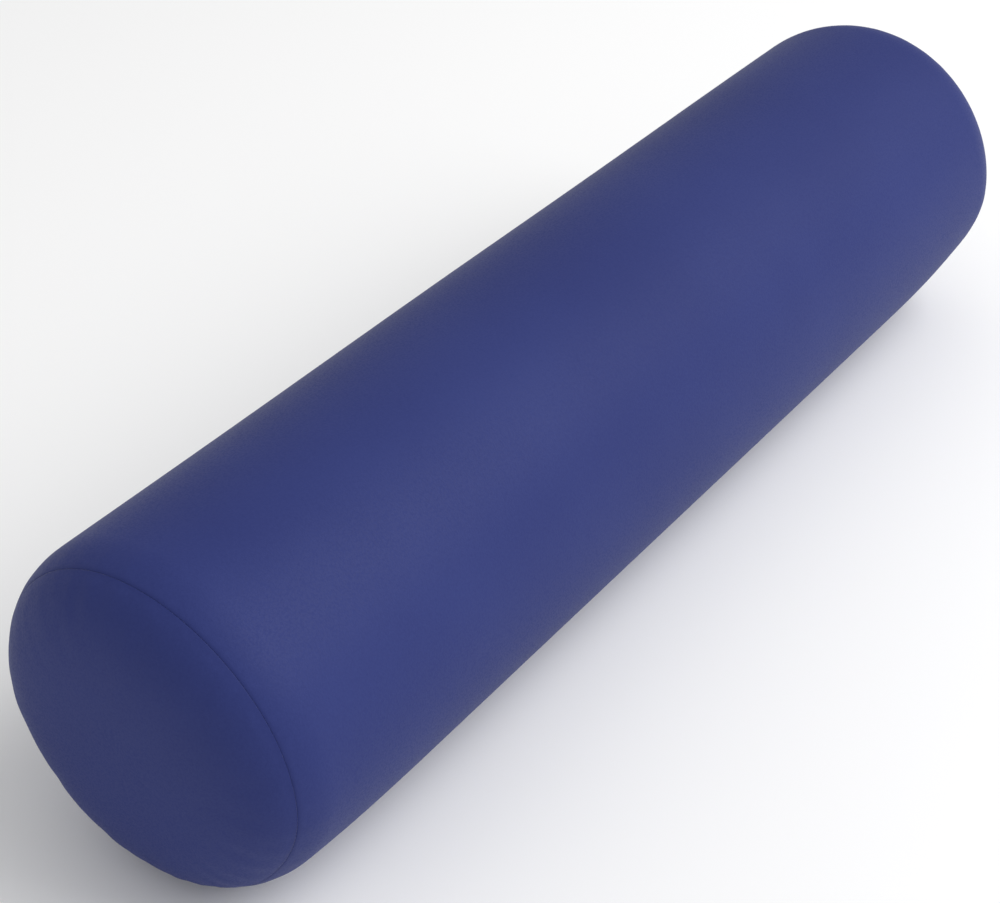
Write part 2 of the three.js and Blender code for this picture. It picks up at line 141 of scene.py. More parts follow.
def settled(points):
    """Scales each point's distance from the axis: less below the axis towards the ends, and down
    to the floor's distance where the round section would go through it."""
    x, y, z = points[..., 0], points[..., 1], points[..., 2] - AXIS_HEIGHT
    radius = np.maximum(np.hypot(y, z), 1e-9)
    down = -z / radius
    lower_half = smooth_step(0.0, 0.6, down)
    drawn = sum(
        amount * np.exp(-(((LENGTH / 2 - side * x) / DRAWN_LENGTH) ** 2))
        for side, amount in DRAWN_IN.items()
    )
    turn = np.arctan2(z, y) - ZIP_ANGLE
    away_from_zip = smooth_step(0.97, 0.8, np.cos(turn))
    uneven = waves(x, turn, UNEVENNESS, 4, 0.22, 5) * away_from_zip * smooth_step(0.3, -0.3, down)
    floor = AXIS_HEIGHT / RADIUS / np.maximum(down, 0.5)
    mix = np.clip(0.5 + 0.5 * (1 - floor) / EASED, 0, 1)
    resting = floor * mix + (1 - mix) - EASED * mix * (1 - mix)
    scale = (1 + (uneven - drawn * lower_half) / RADIUS) * np.where(down > 0.5, resting, 1)
    return np.stack([x, y * scale, z * scale + AXIS_HEIGHT], -1)


def round_the_axis(x, radius, turn):
    """Points at a turn in radians from the line of the zip: positive turns go down from it."""
    angle = ZIP_ANGLE - turn
    x, radius, angle = np.broadcast_arrays(x, radius, angle)
    return np.stack([x, radius * np.cos(angle), radius * np.sin(angle) + AXIS_HEIGHT], -1)


# %% [markdown]
# ## Putting surfaces into meshes
# A piece is worked out as whole arrays of points, and its faces as arrays of their numbers. This
# puts both into a mesh and turns the faces outwards: the signed volume says which way they point.

# %% A closed surface into a mesh
def signed_volume(points, faces):
    """Six times the volume between the origin and a fan of triangles over each face, summed."""
    total = 0.0
    for group in faces:
        for k in range(1, group.shape[1] - 1):
            a, b, c = points[group[:, 0]], points[group[:, k]], points[group[:, k + 1]]
            total += np.einsum("ij,ij->", a, np.cross(b, c))
    return total


def new_piece(name, points, faces, materials, body="roll", extra=None, inner_from=None):
    """Makes an object from points (n, 3) and face arrays (m, corners), riding on a CAD body.

    extra holds values for each point, kept as attributes for the materials. Faces from number
    inner_from on take the second material."""
    used, faces_used = np.unique(np.concatenate([f.ravel() for f in faces])), []
    renumber = np.full(len(points), -1)
    renumber[used] = np.arange(len(used))
    outwards = 1 if signed_volume(points, faces) > 0 else -1
    for group in faces:
        faces_used.append(renumber[group][:, ::outwards])
    corners = np.concatenate([f.ravel() for f in faces_used]).astype(np.int32)
    sizes = np.concatenate([np.full(len(f), f.shape[1]) for f in faces_used])
    mesh = bpy.data.meshes.new(name)
    mesh.vertices.add(len(used))
    mesh.vertices.foreach_set("co", points[used].astype(np.float32).ravel())
    mesh.loops.add(len(corners))
    mesh.loops.foreach_set("vertex_index", corners)
    mesh.polygons.add(len(sizes))
    mesh.polygons.foreach_set("loop_start", (np.cumsum(sizes) - sizes).astype(np.int32))
    mesh.update(calc_edges=True)
    mesh.shade_smooth()
    for material in materials:
        mesh.materials.append(material)
    if inner_from is not None:
        second = (np.arange(len(sizes)) >= inner_from).astype(np.int32)
        mesh.polygons.foreach_set("material_index", second)
    for key, values in (extra or {}).items():
        values = np.asarray(values, np.float32).reshape(len(points), -1)[used]
        kind, field = ("FLOAT", "value") if values.shape[1] == 1 else ("FLOAT_VECTOR", "vector")
        mesh.attributes.new(key, kind, "POINT").data.foreach_set(field, values.ravel())
    piece = bpy.data.objects.new(name, mesh)
    bpy.context.scene.collection.objects.link(piece)
    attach(piece, body)
    print(f"{name}: {len(mesh.vertices)} points, {len(mesh.polygons)} faces")
    return piece


def grid_faces(index, wrap_rows=False, wrap_columns=False):
    """Four-cornered faces between the neighbours of a grid of point numbers."""
    if wrap_rows:
        index = np.vstack([index, index[:1]])
    if wrap_columns:
        index = np.hstack([index, index[:, :1]])
    return np.stack(
        [index[:-1, :-1], index[1:, :-1], index[1:, 1:], index[:-1, 1:]], -1
    ).reshape(-1, 4)


def closed_sheet(outer, inner):
    """Two grids that meet along their rims, as one closed sheet: points, faces, and how many of
    the faces are the outer ones. Both grids use the outer one's points along the rim."""
    rows, columns = outer.shape[:2]
    outside = np.arange(rows * columns).reshape(rows, columns)
    inside = outside + rows * columns
    inside[[0, -1], :] = outside[[0, -1], :]
    inside[:, [0, -1]] = outside[:, [0, -1]]
    points = np.concatenate([outer.reshape(-1, 3), inner.reshape(-1, 3)])
    faces = grid_faces(outside)
    return points, [np.concatenate([faces, grid_faces(inside)[:, ::-1]])], len(faces)


def closed_by_poles(grid):
    """A grid whose first and last rows are each one point, closed round its columns."""
    rows, columns = grid.shape[:2]
    index = np.arange(rows * columns).reshape(rows, columns)
    first, last, ring = index[0, 0], index[-1, 0], np.arange(columns)
    following = np.roll(ring, -1)
    start = np.stack([np.full(columns, first), index[1][ring], index[1][following]], -1)
    end = np.stack([np.full(columns, last), index[-2][following], index[-2][ring]], -1)
    faces = [grid_faces(index[1:-1], wrap_columns=True), start, end]
    return grid.reshape(-1, 3), faces


# %% [markdown]
# Threads, the coil of the zip and the bail of its slider are all the same idea: a round section
# carried along a path. Many short paths of equal length go in at once, as one more axis of the
# array.

# %% Sections carried along paths
def tubes(paths, widths, reference, sides=6):
    """Round tubes along paths (tubes, stations, 3), with widths (stations) as radii.

    At each station the section's circle is spanned by the reference direction made square to the
    path, and by the cross product of the two. Returns the points, the faces with a flat cap at
    each end, and for every point its distance along with the cosine and sine of its place round
    the section, which the thread material winds its twist by."""
    count, stations = paths.shape[:2]
    heading = np.gradient(paths, axis=1)
    heading /= np.linalg.norm(heading, axis=-1, keepdims=True)
    across = reference - np.sum(reference * heading, -1, keepdims=True) * heading
    across /= np.linalg.norm(across, axis=-1, keepdims=True)
    over = np.cross(heading, across)
    angle = np.linspace(0, 2 * math.pi, sides, endpoint=False)
    ring = (across[..., None, :] * np.cos(angle)[:, None] + over[..., None, :] * np.sin(angle)[:, None])
    points = paths[:, :, None] + ring * np.asarray(widths)[..., :, None, None]
    steps = np.linalg.norm(np.diff(paths, axis=1), axis=-1)
    along = np.pad(np.cumsum(steps, 1), ((0, 0), (1, 0)))
    run = np.stack(np.broadcast_arrays(along[..., None], np.cos(angle), np.sin(angle)), -1)
    index = np.arange(count * stations * sides).reshape(count, stations, sides)
    between = np.stack([index[:, :-1], index[:, 1:], np.roll(index[:, 1:], -1, 2),
                        np.roll(index[:, :-1], -1, 2)], -1).reshape(-1, 4)
    caps = np.concatenate([index[:, 0], index[:, -1, ::-1]])
    return points.reshape(-1, 3), [between, caps], run.reshape(-1, 3)


# %% [markdown]
# ## The camera, the light and the floor
# The camera looks down on the left end from the front, through a short telephoto lens. One large
# soft light hangs over the right-hand front, and a bright even sky fills the shadows, as in a
# light tent. The floor is plain and almost white.

# %% Camera, light and floor
scene = bpy.context.scene
scene.view_settings.view_transform = "Standard"

CAMERA_AZIMUTH = math.radians(-54.653)
CAMERA_ELEVATION = math.radians(35.394)
CAMERA_PLACE = (-0.679784, -0.439255, 0.612561)
LENS = 76.68

camera = bpy.data.objects.new("camera", bpy.data.cameras.new("camera"))
camera.data.lens = LENS
camera.data.sensor_width = 36  # millimetres, as the lens is
camera.location = CAMERA_PLACE
camera.rotation_euler = (math.pi / 2 - CAMERA_ELEVATION, 0, CAMERA_AZIMUTH)
scene.collection.objects.link(camera)
scene.camera = camera


def area_light(name, place, target, size, watts):
    """A square light of the given size at a place, turned to face a target."""
    light = bpy.data.objects.new(name, bpy.data.lights.new(name, "AREA"))
    light.data.size = size
    light.data.energy = watts
    light.location = place
    aim = light.location - type(light.location)(target)
    light.rotation_euler = aim.to_track_quat("Z", "Y").to_euler()
    scene.collection.objects.link(light)


area_light("soft_key", place=(0.9, -1.5, 1.9), target=(0, 0, 0.07), size=2.2, watts=50)

world = bpy.data.worlds.new("light_tent")
world.use_nodes = True
world.node_tree.nodes["Background"].inputs["Color"].default_value = (1, 1, 1, 1)
world.node_tree.nodes["Background"].inputs["Strength"].default_value = 0.61
scene.world = world

FLOOR_REACH = 6.0
floor_mesh = bpy.data.meshes.new("floor")
floor_mesh.from_pydata(
    [(x * FLOOR_REACH, y * FLOOR_REACH, 0) for x, y in ((-1, -1), (1, -1), (1, 1), (-1, 1))],
    [], [(0, 1, 2, 3)])
floor = bpy.data.objects.new("floor", floor_mesh)
scene.collection.objects.link(floor)

# %% [markdown]
# ## Effects that several materials share
# Each of these is a node group with named sockets, built once. This small helper keeps the
# wiring short: a node is made with its settings, and its inputs are linked or set by name.

# %% Wiring helper
class Wiring:
    """Makes nodes in one tree. An input given as a socket is linked, and any other is a value."""

    def __init__(self, tree):
        self.tree = tree

    def add(self, kind, inputs=None, **settings):
        node = self.tree.nodes.new(kind)
        for key, value in settings.items():
            setattr(node, key, value)
        for key, value in (inputs or {}).items():
            if isinstance(value, bpy.types.NodeSocket):
                self.tree.links.new(value, node.inputs[key])
            else:
                node.inputs[key].default_value = value
        return node

    def math(self, operation, first, second=0.0, **more):
        node = self.add("ShaderNodeMath", {0: first, 1: second}, operation=operation, **more)
        return node.outputs[0]

    def mix(self, share, first, second):
        """Blends two colours by a share from 0 to 1."""
        inputs = {"Factor": share, 6: first, 7: second}
        return self.add("ShaderNodeMix", inputs, data_type="RGBA").outputs[2]

    def band(self, value, low, high, to_low=0.0, to_high=1.0):
        """Maps a value from one range to another, smoothly and without going past its ends."""
        inputs = {"Value": value, 1: low, 2: high, 3: to_low, 4: to_high}
        node = self.add("ShaderNodeMapRange", inputs, interpolation_type="SMOOTHSTEP")
        return node.outputs["Result"]

    def link(self, source, target):
        self.tree.links.new(source, target)

    def noise(self, place, scale, detail=2):
        inputs = {"Vector": place, "Scale": scale, "Detail": detail}
        return self.add("ShaderNodeTexNoise", inputs).outputs[0]

    def bump(self, height, strength, distance):
        inputs = {"Height": height, "Strength": strength, "Distance": distance}
        return self.add("ShaderNodeBump", inputs).outputs["Normal"]

    def group(self, name, inputs):
        tree = bpy.data.node_groups[name]
        return self.add("ShaderNodeGroup", inputs, node_tree=tree).outputs

    def object_place(self):
        return self.add("ShaderNodeTexCoord").outputs["Object"]

    def kept(self, name):
        """The three values that the mesh keeps for each point under a name."""
        kept = self.add("ShaderNodeAttribute", attribute_name=name).outputs["Vector"]
        return self.add("ShaderNodeSeparateXYZ", {0: kept}).outputs


def shader_group(name, inputs, outputs):
    """An empty node group with float or vector inputs, its wiring, and its two end nodes."""
    tree = bpy.data.node_groups.new(name, "ShaderNodeTree")
    for key, value in inputs.items():
        kind = "NodeSocketVector" if value is None else "NodeSocketFloat"
        socket = tree.interface.new_socket(key, in_out="INPUT", socket_type=kind)
        if value is not None:
            socket.default_value = value
    for key in outputs:
        tree.interface.new_socket(key, in_out="OUTPUT", socket_type="NodeSocketFloat")
    wiring = Wiring(tree)
    return wiring, wiring.add("NodeGroupInput").outputs, wiring.add("NodeGroupOutput").inputs


def finish_of(name, base, roughness, **sockets):
    """A material with a Principled shader and the values that are the same all over it."""
    material = bpy.data.materials.new(name)
    material.use_nodes = True
    wiring = Wiring(material.node_tree)
    shader = material.node_tree.nodes["Principled BSDF"]
    shader.inputs["Base Color"].default_value = (*base, 1)
    shader.inputs["Roughness"].default_value = roughness
    for key, value in sockets.items():
        shader.inputs[key.replace("_", " ")].default_value = value
    return material, wiring, shader.inputs


# %% [markdown]
# Dyed and moulded stuff is never one colour. Mottle mixes a broad noise with a fine one into a
# mask around a half, and every finish uses it at its own scale to shift its colour and roughness.

# %% Group: mottle
w, given, out = shader_group(
    "mottle", {"Place": None, "Broad scale": 12.0, "Fine scale": 300.0, "Fine share": 0.35}, ["Mask"])
broad = w.noise(given["Place"], given["Broad scale"], detail=3)
fine = w.noise(given["Place"], given["Fine scale"])
fine_part = w.math("MULTIPLY", fine, given["Fine share"])
broad_part = w.math("MULTIPLY", broad, w.math("SUBTRACT", 1.0, given["Fine share"]))
w.link(w.band(w.math("ADD", fine_part, broad_part), 0.3, 0.7), out["Mask"])

# %% [markdown]
# Wear shows where a surface stands out: on the rims of the zip's metal, and on the folded edges
# of the cover, whose paler colour is partly wear and partly a painted sheen. The group takes a
# mask of those places and breaks it up with noise.

# %% Group: edge wear and painted sheen
w, given, out = shader_group(
    "edge_wear_and_sheen", {"Place": None, "Edge": 0.0, "Scale": 150.0, "Amount": 0.5}, ["Mask"])
breaks = w.band(w.noise(given["Place"], given["Scale"], detail=4), 0.38, 0.62)
patchy = w.math("MULTIPLY", given["Edge"], breaks)
w.link(w.math("MULTIPLY", patchy, given["Amount"], use_clamp=True), out["Mask"])

# %% [markdown]
# Woven and knitted stuff is made of two sets of yarns that pass over each other. Two sine waves
# crossed give the bumps of a plain weave, read from the piece's own directions along and across.

# %% Group: weave
w, given, out = shader_group(
    "weave", {"Across": 0.0, "Along": 0.0, "Pitch": 0.0006}, ["Height", "Gaps"])
turn_rate = w.math("DIVIDE", 2 * math.pi, given["Pitch"])
warp = w.math("SINE", w.math("MULTIPLY", given["Across"], turn_rate))
weft = w.math("SINE", w.math("MULTIPLY", given["Along"], turn_rate))
crossing = w.math("MULTIPLY", warp, weft)
w.link(w.math("ADD", w.math("MULTIPLY", crossing, 0.5), 0.5), out["Height"])
# The gaps between the yarns, a mask that the finishes darken as painted shade.
w.link(w.band(w.math("ABSOLUTE", crossing), 0.0, 0.25, 1.0, 0.0), out["Gaps"])
print("groups:", [tree.name for tree in bpy.data.node_groups])

# %% [markdown]
# ## The finishes
# ** Leatherette** is a vinyl skin on a knitted backing. Its grain is pressed in: small rounded
# cells with finer lines between them, only a few hundredths of a millimetre deep, so it reads as
# a soft matte sheen. Beside the folded edges the colour is painted a little paler, partly as
# wear and partly as a painted sheen, and the seams are painted darker as shade. The mesh
# keeps, for each point, how near it is to a fold's edge and to where the fold stands up.

# %% Leatherette
DEEP_BLUE = (0.024, 0.034, 0.148, 1)
CLEAR_BLUE = (0.029, 0.041, 0.168, 1)
# Paler blue beside the folds: partly wear, partly a painted sheen.
RUBBED_SHEEN_BLUE = (0.045, 0.060, 0.225, 1)
# Darker blue for the painted shade in the seam grooves.
SEAM_SHADE_BLUE = (0.016, 0.024, 0.118, 1)

leatherette, w, shader = finish_of(
    "blue_leatherette", CLEAR_BLUE[:3], 0.55, Specular_IOR_Level=0.13)
place = w.object_place()
seam = w.kept("seam_place")
shift = w.group("mottle", {"Place": place, "Broad scale": 9.0, "Fine scale": 900.0})["Mask"]
rubbed_and_sheen = w.group("edge_wear_and_sheen", {"Place": place, "Edge": seam["Y"], "Scale": 260.0, "Amount": 0.1})
colour = w.mix(shift, DEEP_BLUE, CLEAR_BLUE)
# Beside the folds the colour turns paler: partly wear, partly a painted sheen.
colour = w.mix(rubbed_and_sheen["Mask"], colour, RUBBED_SHEEN_BLUE)
# Painted shade: the seam grooves are mixed towards the darker blue.
w.link(w.mix(seam["X"], colour, SEAM_SHADE_BLUE), shader["Base Color"])

cells = w.add("ShaderNodeTexVoronoi", {"Vector": place, "Scale": 1400.0}, feature="SMOOTH_F1")
domes = w.band(cells.outputs["Distance"], 0.15, 0.75, 1.0, 0.0)
grain = w.math("ADD", domes, w.math("MULTIPLY", w.noise(place, 5200.0, 3), 0.35))
w.link(w.band(grain, 0.2, 1.1, 0.62, 0.50), shader["Roughness"])
w.link(w.bump(grain, 0.35, 0.05 * MM), shader["Normal"])

# %% [markdown]
# Its back is a fine jersey, pale and a little fuzzy. It shows only where a cover is opened.

# %% Backing of the leatherette
backing, w, shader = finish_of("jersey_backing", (0.5, 0.52, 0.56), 0.95, Sheen_Weight=0.3)
place = w.add("ShaderNodeSeparateXYZ", {0: w.object_place()}).outputs
knit = w.group("weave", {"Across": place["X"], "Along": place["Z"], "Pitch": 0.9 * MM})
# Painted shade: the gaps of the knit are mixed darker.
w.link(w.mix(knit["Gaps"], (0.50, 0.52, 0.56, 1), (0.36, 0.38, 0.44, 1)), shader["Base Color"])
w.link(w.bump(knit["Height"], 0.6, 0.12 * MM), shader["Normal"])

# %% [markdown]
# **Thread** is three strands twisted together. Each point of a stitch keeps its distance along
# the thread and its place round it, so the twist can be drawn as a wave that winds round.

# %% Thread
TWIST_PITCH = 1.1 * MM
thread_finish, w, shader = finish_of("sewing_thread", (0.030, 0.042, 0.165), 0.6, Sheen_Weight=0.2)
run = w.kept("run")
round_it = w.math("MULTIPLY", w.math("ARCTAN2", run["Z"], run["Y"]), 3.0)
winding = w.math("ADD", round_it, w.math("MULTIPLY", run["X"], 6 * math.pi / TWIST_PITCH))
strands = w.band(w.math("SINE", winding), -1.0, 1.0)
# Painted shade and highlight: the grooves between the strands are mixed darker, their crowns paler.
w.link(w.mix(strands, (0.012, 0.018, 0.085, 1), (0.036, 0.050, 0.190, 1)), shader["Base Color"])
w.link(w.band(strands, 0.0, 1.0, 0.75, 0.5), shader["Roughness"])
w.link(w.bump(strands, 0.8, 0.08 * MM), shader["Normal"])

# %% [markdown]
# **Zip tape** is a dense polyester weave, **the coil** is one bent nylon wire with a slight
# gloss, and **the metal** is nickel-plated zinc: satin where it is cast, brighter on the rims
# that hands and cloth polish.

# %% Zip tape
tape_finish, w, shader = finish_of("woven_tape", (0.014, 0.020, 0.085), 0.85, Sheen_Weight=0.25)
run = w.kept("run")
woven = w.group("weave", {"Across": run["Y"], "Along": run["X"], "Pitch": 0.7 * MM})
shift = w.group("mottle", {"Place": w.object_place(), "Broad scale": 40.0, "Fine scale": 1500.0})
yarn = w.mix(shift["Mask"], (0.012, 0.017, 0.075, 1), (0.020, 0.028, 0.110, 1))
# Painted shade: the gaps between the yarns are mixed towards near black.
w.link(w.mix(woven["Gaps"], yarn, (0.004, 0.006, 0.028, 1)), shader["Base Color"])
w.link(w.band(woven["Height"], 0.0, 1.0, 0.95, 0.75), shader["Roughness"])
w.link(w.bump(woven["Height"], 0.7, 0.12 * MM), shader["Normal"])

# %% Nylon coil
coil_finish, w, shader = finish_of("nylon_wire", (0.020, 0.028, 0.120), 0.35, Coat_Weight=0.15)
shift = w.group("mottle", {"Place": w.object_place(), "Broad scale": 150.0, "Fine scale": 4000.0})
w.link(w.mix(shift["Mask"], (0.016, 0.023, 0.100, 1), (0.028, 0.038, 0.150, 1)), shader["Base Color"])
w.link(w.band(shift["Mask"], 0.0, 1.0, 0.42, 0.3), shader["Roughness"])

# %% Nickel plate
metal_finish, w, shader = finish_of("nickel_plate", (0.52, 0.52, 0.53), 0.35, Metallic=1.0)
place = w.object_place()
shift = w.group("mottle", {"Place": place, "Broad scale": 220.0, "Fine scale": 5000.0})["Mask"]
rim = w.band(w.add("ShaderNodeNewGeometry").outputs["Pointiness"], 0.51, 0.6)
polished = w.group("edge_wear_and_sheen", {"Place": place, "Edge": rim, "Scale": 900.0, "Amount": 0.25})["Mask"]
plate = w.mix(shift, (0.36, 0.36, 0.37, 1), (0.40, 0.40, 0.41, 1))
w.link(w.mix(polished, plate, (0.66, 0.65, 0.63, 1)), shader["Base Color"])
satin = w.band(shift, 0.0, 1.0, 0.40, 0.34)
w.link(w.math("SUBTRACT", satin, w.math("MULTIPLY", polished, 0.15)), shader["Roughness"])
w.link(w.bump(w.noise(place, 6000.0, 3), 0.15, 0.03 * MM), shader["Normal"])

# %% [markdown]
# **Wadding** is a white polyester fleece: crossed fibres, loose at the surface. **Foam** is cut
# polyurethane, cream, with open pores of about a millimetre, some larger than others.

# %% Wadding
wadding_finish, w, shader = finish_of("fleece_wadding", (0.86, 0.86, 0.84), 1.0, Sheen_Weight=0.5)
place = w.object_place()
drawn_out = [
    w.noise(w.add("ShaderNodeMapping", {"Vector": place, "Scale": scale}).outputs[0], 260.0, 4)
    for scale in ((1, 7, 7), (7, 1, 4))
]
fibres = w.math("MAXIMUM", *drawn_out)
w.link(w.mix(w.band(fibres, 0.4, 0.7), (0.74, 0.74, 0.72, 1), (0.90, 0.90, 0.88, 1)), shader["Base Color"])
w.link(w.bump(fibres, 0.9, 0.6 * MM), shader["Normal"])

# %% Foam
foam_finish, w, shader = finish_of("cut_foam", (0.78, 0.72, 0.55), 0.95)
place = w.object_place()
pores = w.add("ShaderNodeTexVoronoi", {"Vector": place, "Scale": 1100.0}, feature="F1")
big_pores = w.add("ShaderNodeTexVoronoi", {"Vector": place, "Scale": 330.0}, feature="F1")
hollow = w.math("MINIMUM", pores.outputs["Distance"], big_pores.outputs["Distance"])
cut_skin = w.band(hollow, 0.08, 0.42)
shift = w.group("mottle", {"Place": place, "Broad scale": 18.0, "Fine scale": 200.0})["Mask"]
cream = w.mix(shift, (0.74, 0.67, 0.49, 1), (0.82, 0.77, 0.61, 1))
# Painted shade: the pores are mixed a darker brown than the cut cell walls.
w.link(w.mix(cut_skin, (0.52, 0.44, 0.28, 1), cream), shader["Base Color"])
w.link(w.bump(cut_skin, 0.9, 0.4 * MM), shader["Normal"])

# %% Floor
floor_finish, w, shader = finish_of("pale_floor", (0.95, 0.95, 0.95), 0.9, Specular_IOR_Level=0.0)
floor.data.materials.append(floor_finish)
print("finishes:", [material.name for material in bpy.data.materials])

# %% [markdown]
# ## The cover
# Leatherette is sewn inside out and turned, so every seam shows two folded edges pressed
# together. Each panel is therefore made as a closed sheet: an outer grid and an inner grid that
# meet along the folds. Near a fold the sheet is two plies thick and its outside rolls over in a
# quarter ellipse: a shallow one at the end seams, where the thread pulls both folds tight against
# each other, and a deep one along the zip, where the edges are free. The fullness below is 0 at
# the folded edge and 1 where the roll-over ends.

# %% Folded edges
FOLD_ROUND = 1.6 * MM
SEAM_DROP = 0.2 * MM  # depth at which two folds that are sewn together meet
HALF_SEAM = 0.012 * MM  # from the middle of a closed seam to each fold
ALLOWANCE = 8 * MM  # leatherette folded under along an end seam
PUCKER_REACH = 5 * MM
# How high each end seam gathers both its plies, and the seed of its gathers.
GATHERING = {-1: (0.2 * MM, 21), 1: (0.08 * MM, 31)}
FOLD_STEPS = FOLD_ROUND * (1 - np.cos(np.linspace(0, math.pi / 2, 6)))


def fullness(distance):
    """The height of a quarter ellipse over its flat end: the root of 1 minus (1 - d/r) squared."""
    return np.sqrt(1 - (1 - np.clip(distance / FOLD_ROUND, 0, 1)) ** 2)


def allowance_share(distance):
    """1 where the seam allowance lies under a panel, easing to 0 just past its cut edge."""
    return smooth_step(ALLOWANCE + 0.6 * MM, ALLOWANCE - 0.4 * MM, distance)


def spaced(low, high, step):
    """Even steps between two places, both ends left out."""
    return np.linspace(low, high, max(2, int(round((high - low) / step)) + 1))[1:-1]


def puckers(turn, distance, size, seed):
    """Small gathers along a seam, outwards only: rounded waves about every 12 mm round the roll,
    whose spacing and height drift. They are highest at PUCKER_REACH from the fold, none at it."""
    drift = waves(0, turn, 1.3, 5, 1, seed)
    crest = (0.5 + 0.5 * np.sin(37 * turn + drift)) ** 1.5
    strength = np.clip(0.55 + waves(0, turn, 0.4, 4, 1, seed + 1), 0.1, 1.2)
    reach = distance / PUCKER_REACH
    return size * crest * strength * reach * np.exp(1 - reach)


# %% [markdown]
# The outline of an end has its own measure: the length of its arc. These tables turn a distance
# from the seam, along the cover, into a turn of the outline.

# %% Distances along the outline
TURN_TABLE = np.linspace(0.001, 90, 4001)
OUTLINE_TABLE = np.stack(end_outline(TURN_TABLE))
ARC_TABLE = np.concatenate([[0], np.cumsum(np.hypot(*np.diff(OUTLINE_TABLE, axis=1)))])
SEAM_ARC = np.interp(SEAM_TURN, TURN_TABLE, ARC_TABLE)
STRAIGHT_START = LENGTH / 2 - END_CROWN - SHOULDER_LENGTH


def turn_at(arc):
    return np.interp(arc, ARC_TABLE, TURN_TABLE)


print(f"end seam: {SEAM_ARC / MM:.1f} mm from the middle of the end, along the leatherette")

# %% [markdown]
# The filling pushes the leatherette outwards between the seams that hold it, and it gathers along
# them. That is left to the cloth simulation: a plain closed skin in the roll's shape, with a
# trace of unevenness for the folds to start from. The end seams, the zip and the strip on the
# floor are pinned, gravity is off and pressure does the rest. Only the height of the result over
# the plain shape is kept, evened out so that the roll's mean shape stays. It is smoothed over its
# neighbours, capped, and handed to the panels.

# %% The simulated skin
SKIN_COLUMNS = 150
SKIN_NEAR = 16 * MM  # the skin's lines lie closer together this near to an end seam
SKIN_PRESSURE = 30
SKIN_STIFFNESS = 30
SKIN_FRAMES = 20
TIGHTNESS = 0.45  # the share of the simulated height that the thicker real leatherette keeps
HIGHEST, LOWEST = 0.9 * MM, -0.25 * MM  # the movement's cap, out and in
half_skin = np.concatenate([
    [0.0], spaced(0, SEAM_ARC - SKIN_NEAR, 5 * MM),
    np.linspace(SEAM_ARC - SKIN_NEAR, SEAM_ARC + SKIN_NEAR, 15),
    spaced(SEAM_ARC + SKIN_NEAR, ARC_TABLE[-1], 4 * MM),
    ARC_TABLE[-1] + np.linspace(0, STRAIGHT_START, 26)])
skin_length = 2 * half_skin[-1]
skin_arc = np.concatenate([half_skin, skin_length - half_skin[-2::-1]])
skin_turn = np.linspace(0, 2 * math.pi, SKIN_COLUMNS, endpoint=False)


def skin_point(arc):
    """The plain shape at a distance from the left tip along the skin, for every column."""
    from_end = np.minimum(arc, skin_length - arc)
    along, radius = end_outline(turn_at(from_end))
    x = LENGTH / 2 - along - np.maximum(from_end - ARC_TABLE[-1], 0)
    radius = np.where(from_end <= 0, 0, radius)
    return round_the_axis((np.sign(arc - skin_length / 2) * x)[:, None], radius[:, None], skin_turn[None])


def vertex_group(piece, name, weights):
    """A vertex group whose weights are rounded to hundredths, one call for each weight in use."""
    group = piece.vertex_groups.new(name=name)
    hundredths = np.round(np.clip(weights, 0, 1) * 100).astype(int)
    for value in np.unique(hundredths[hundredths > 0]):
        group.add(np.flatnonzero(hundredths == value).tolist(), value / 100, "REPLACE")


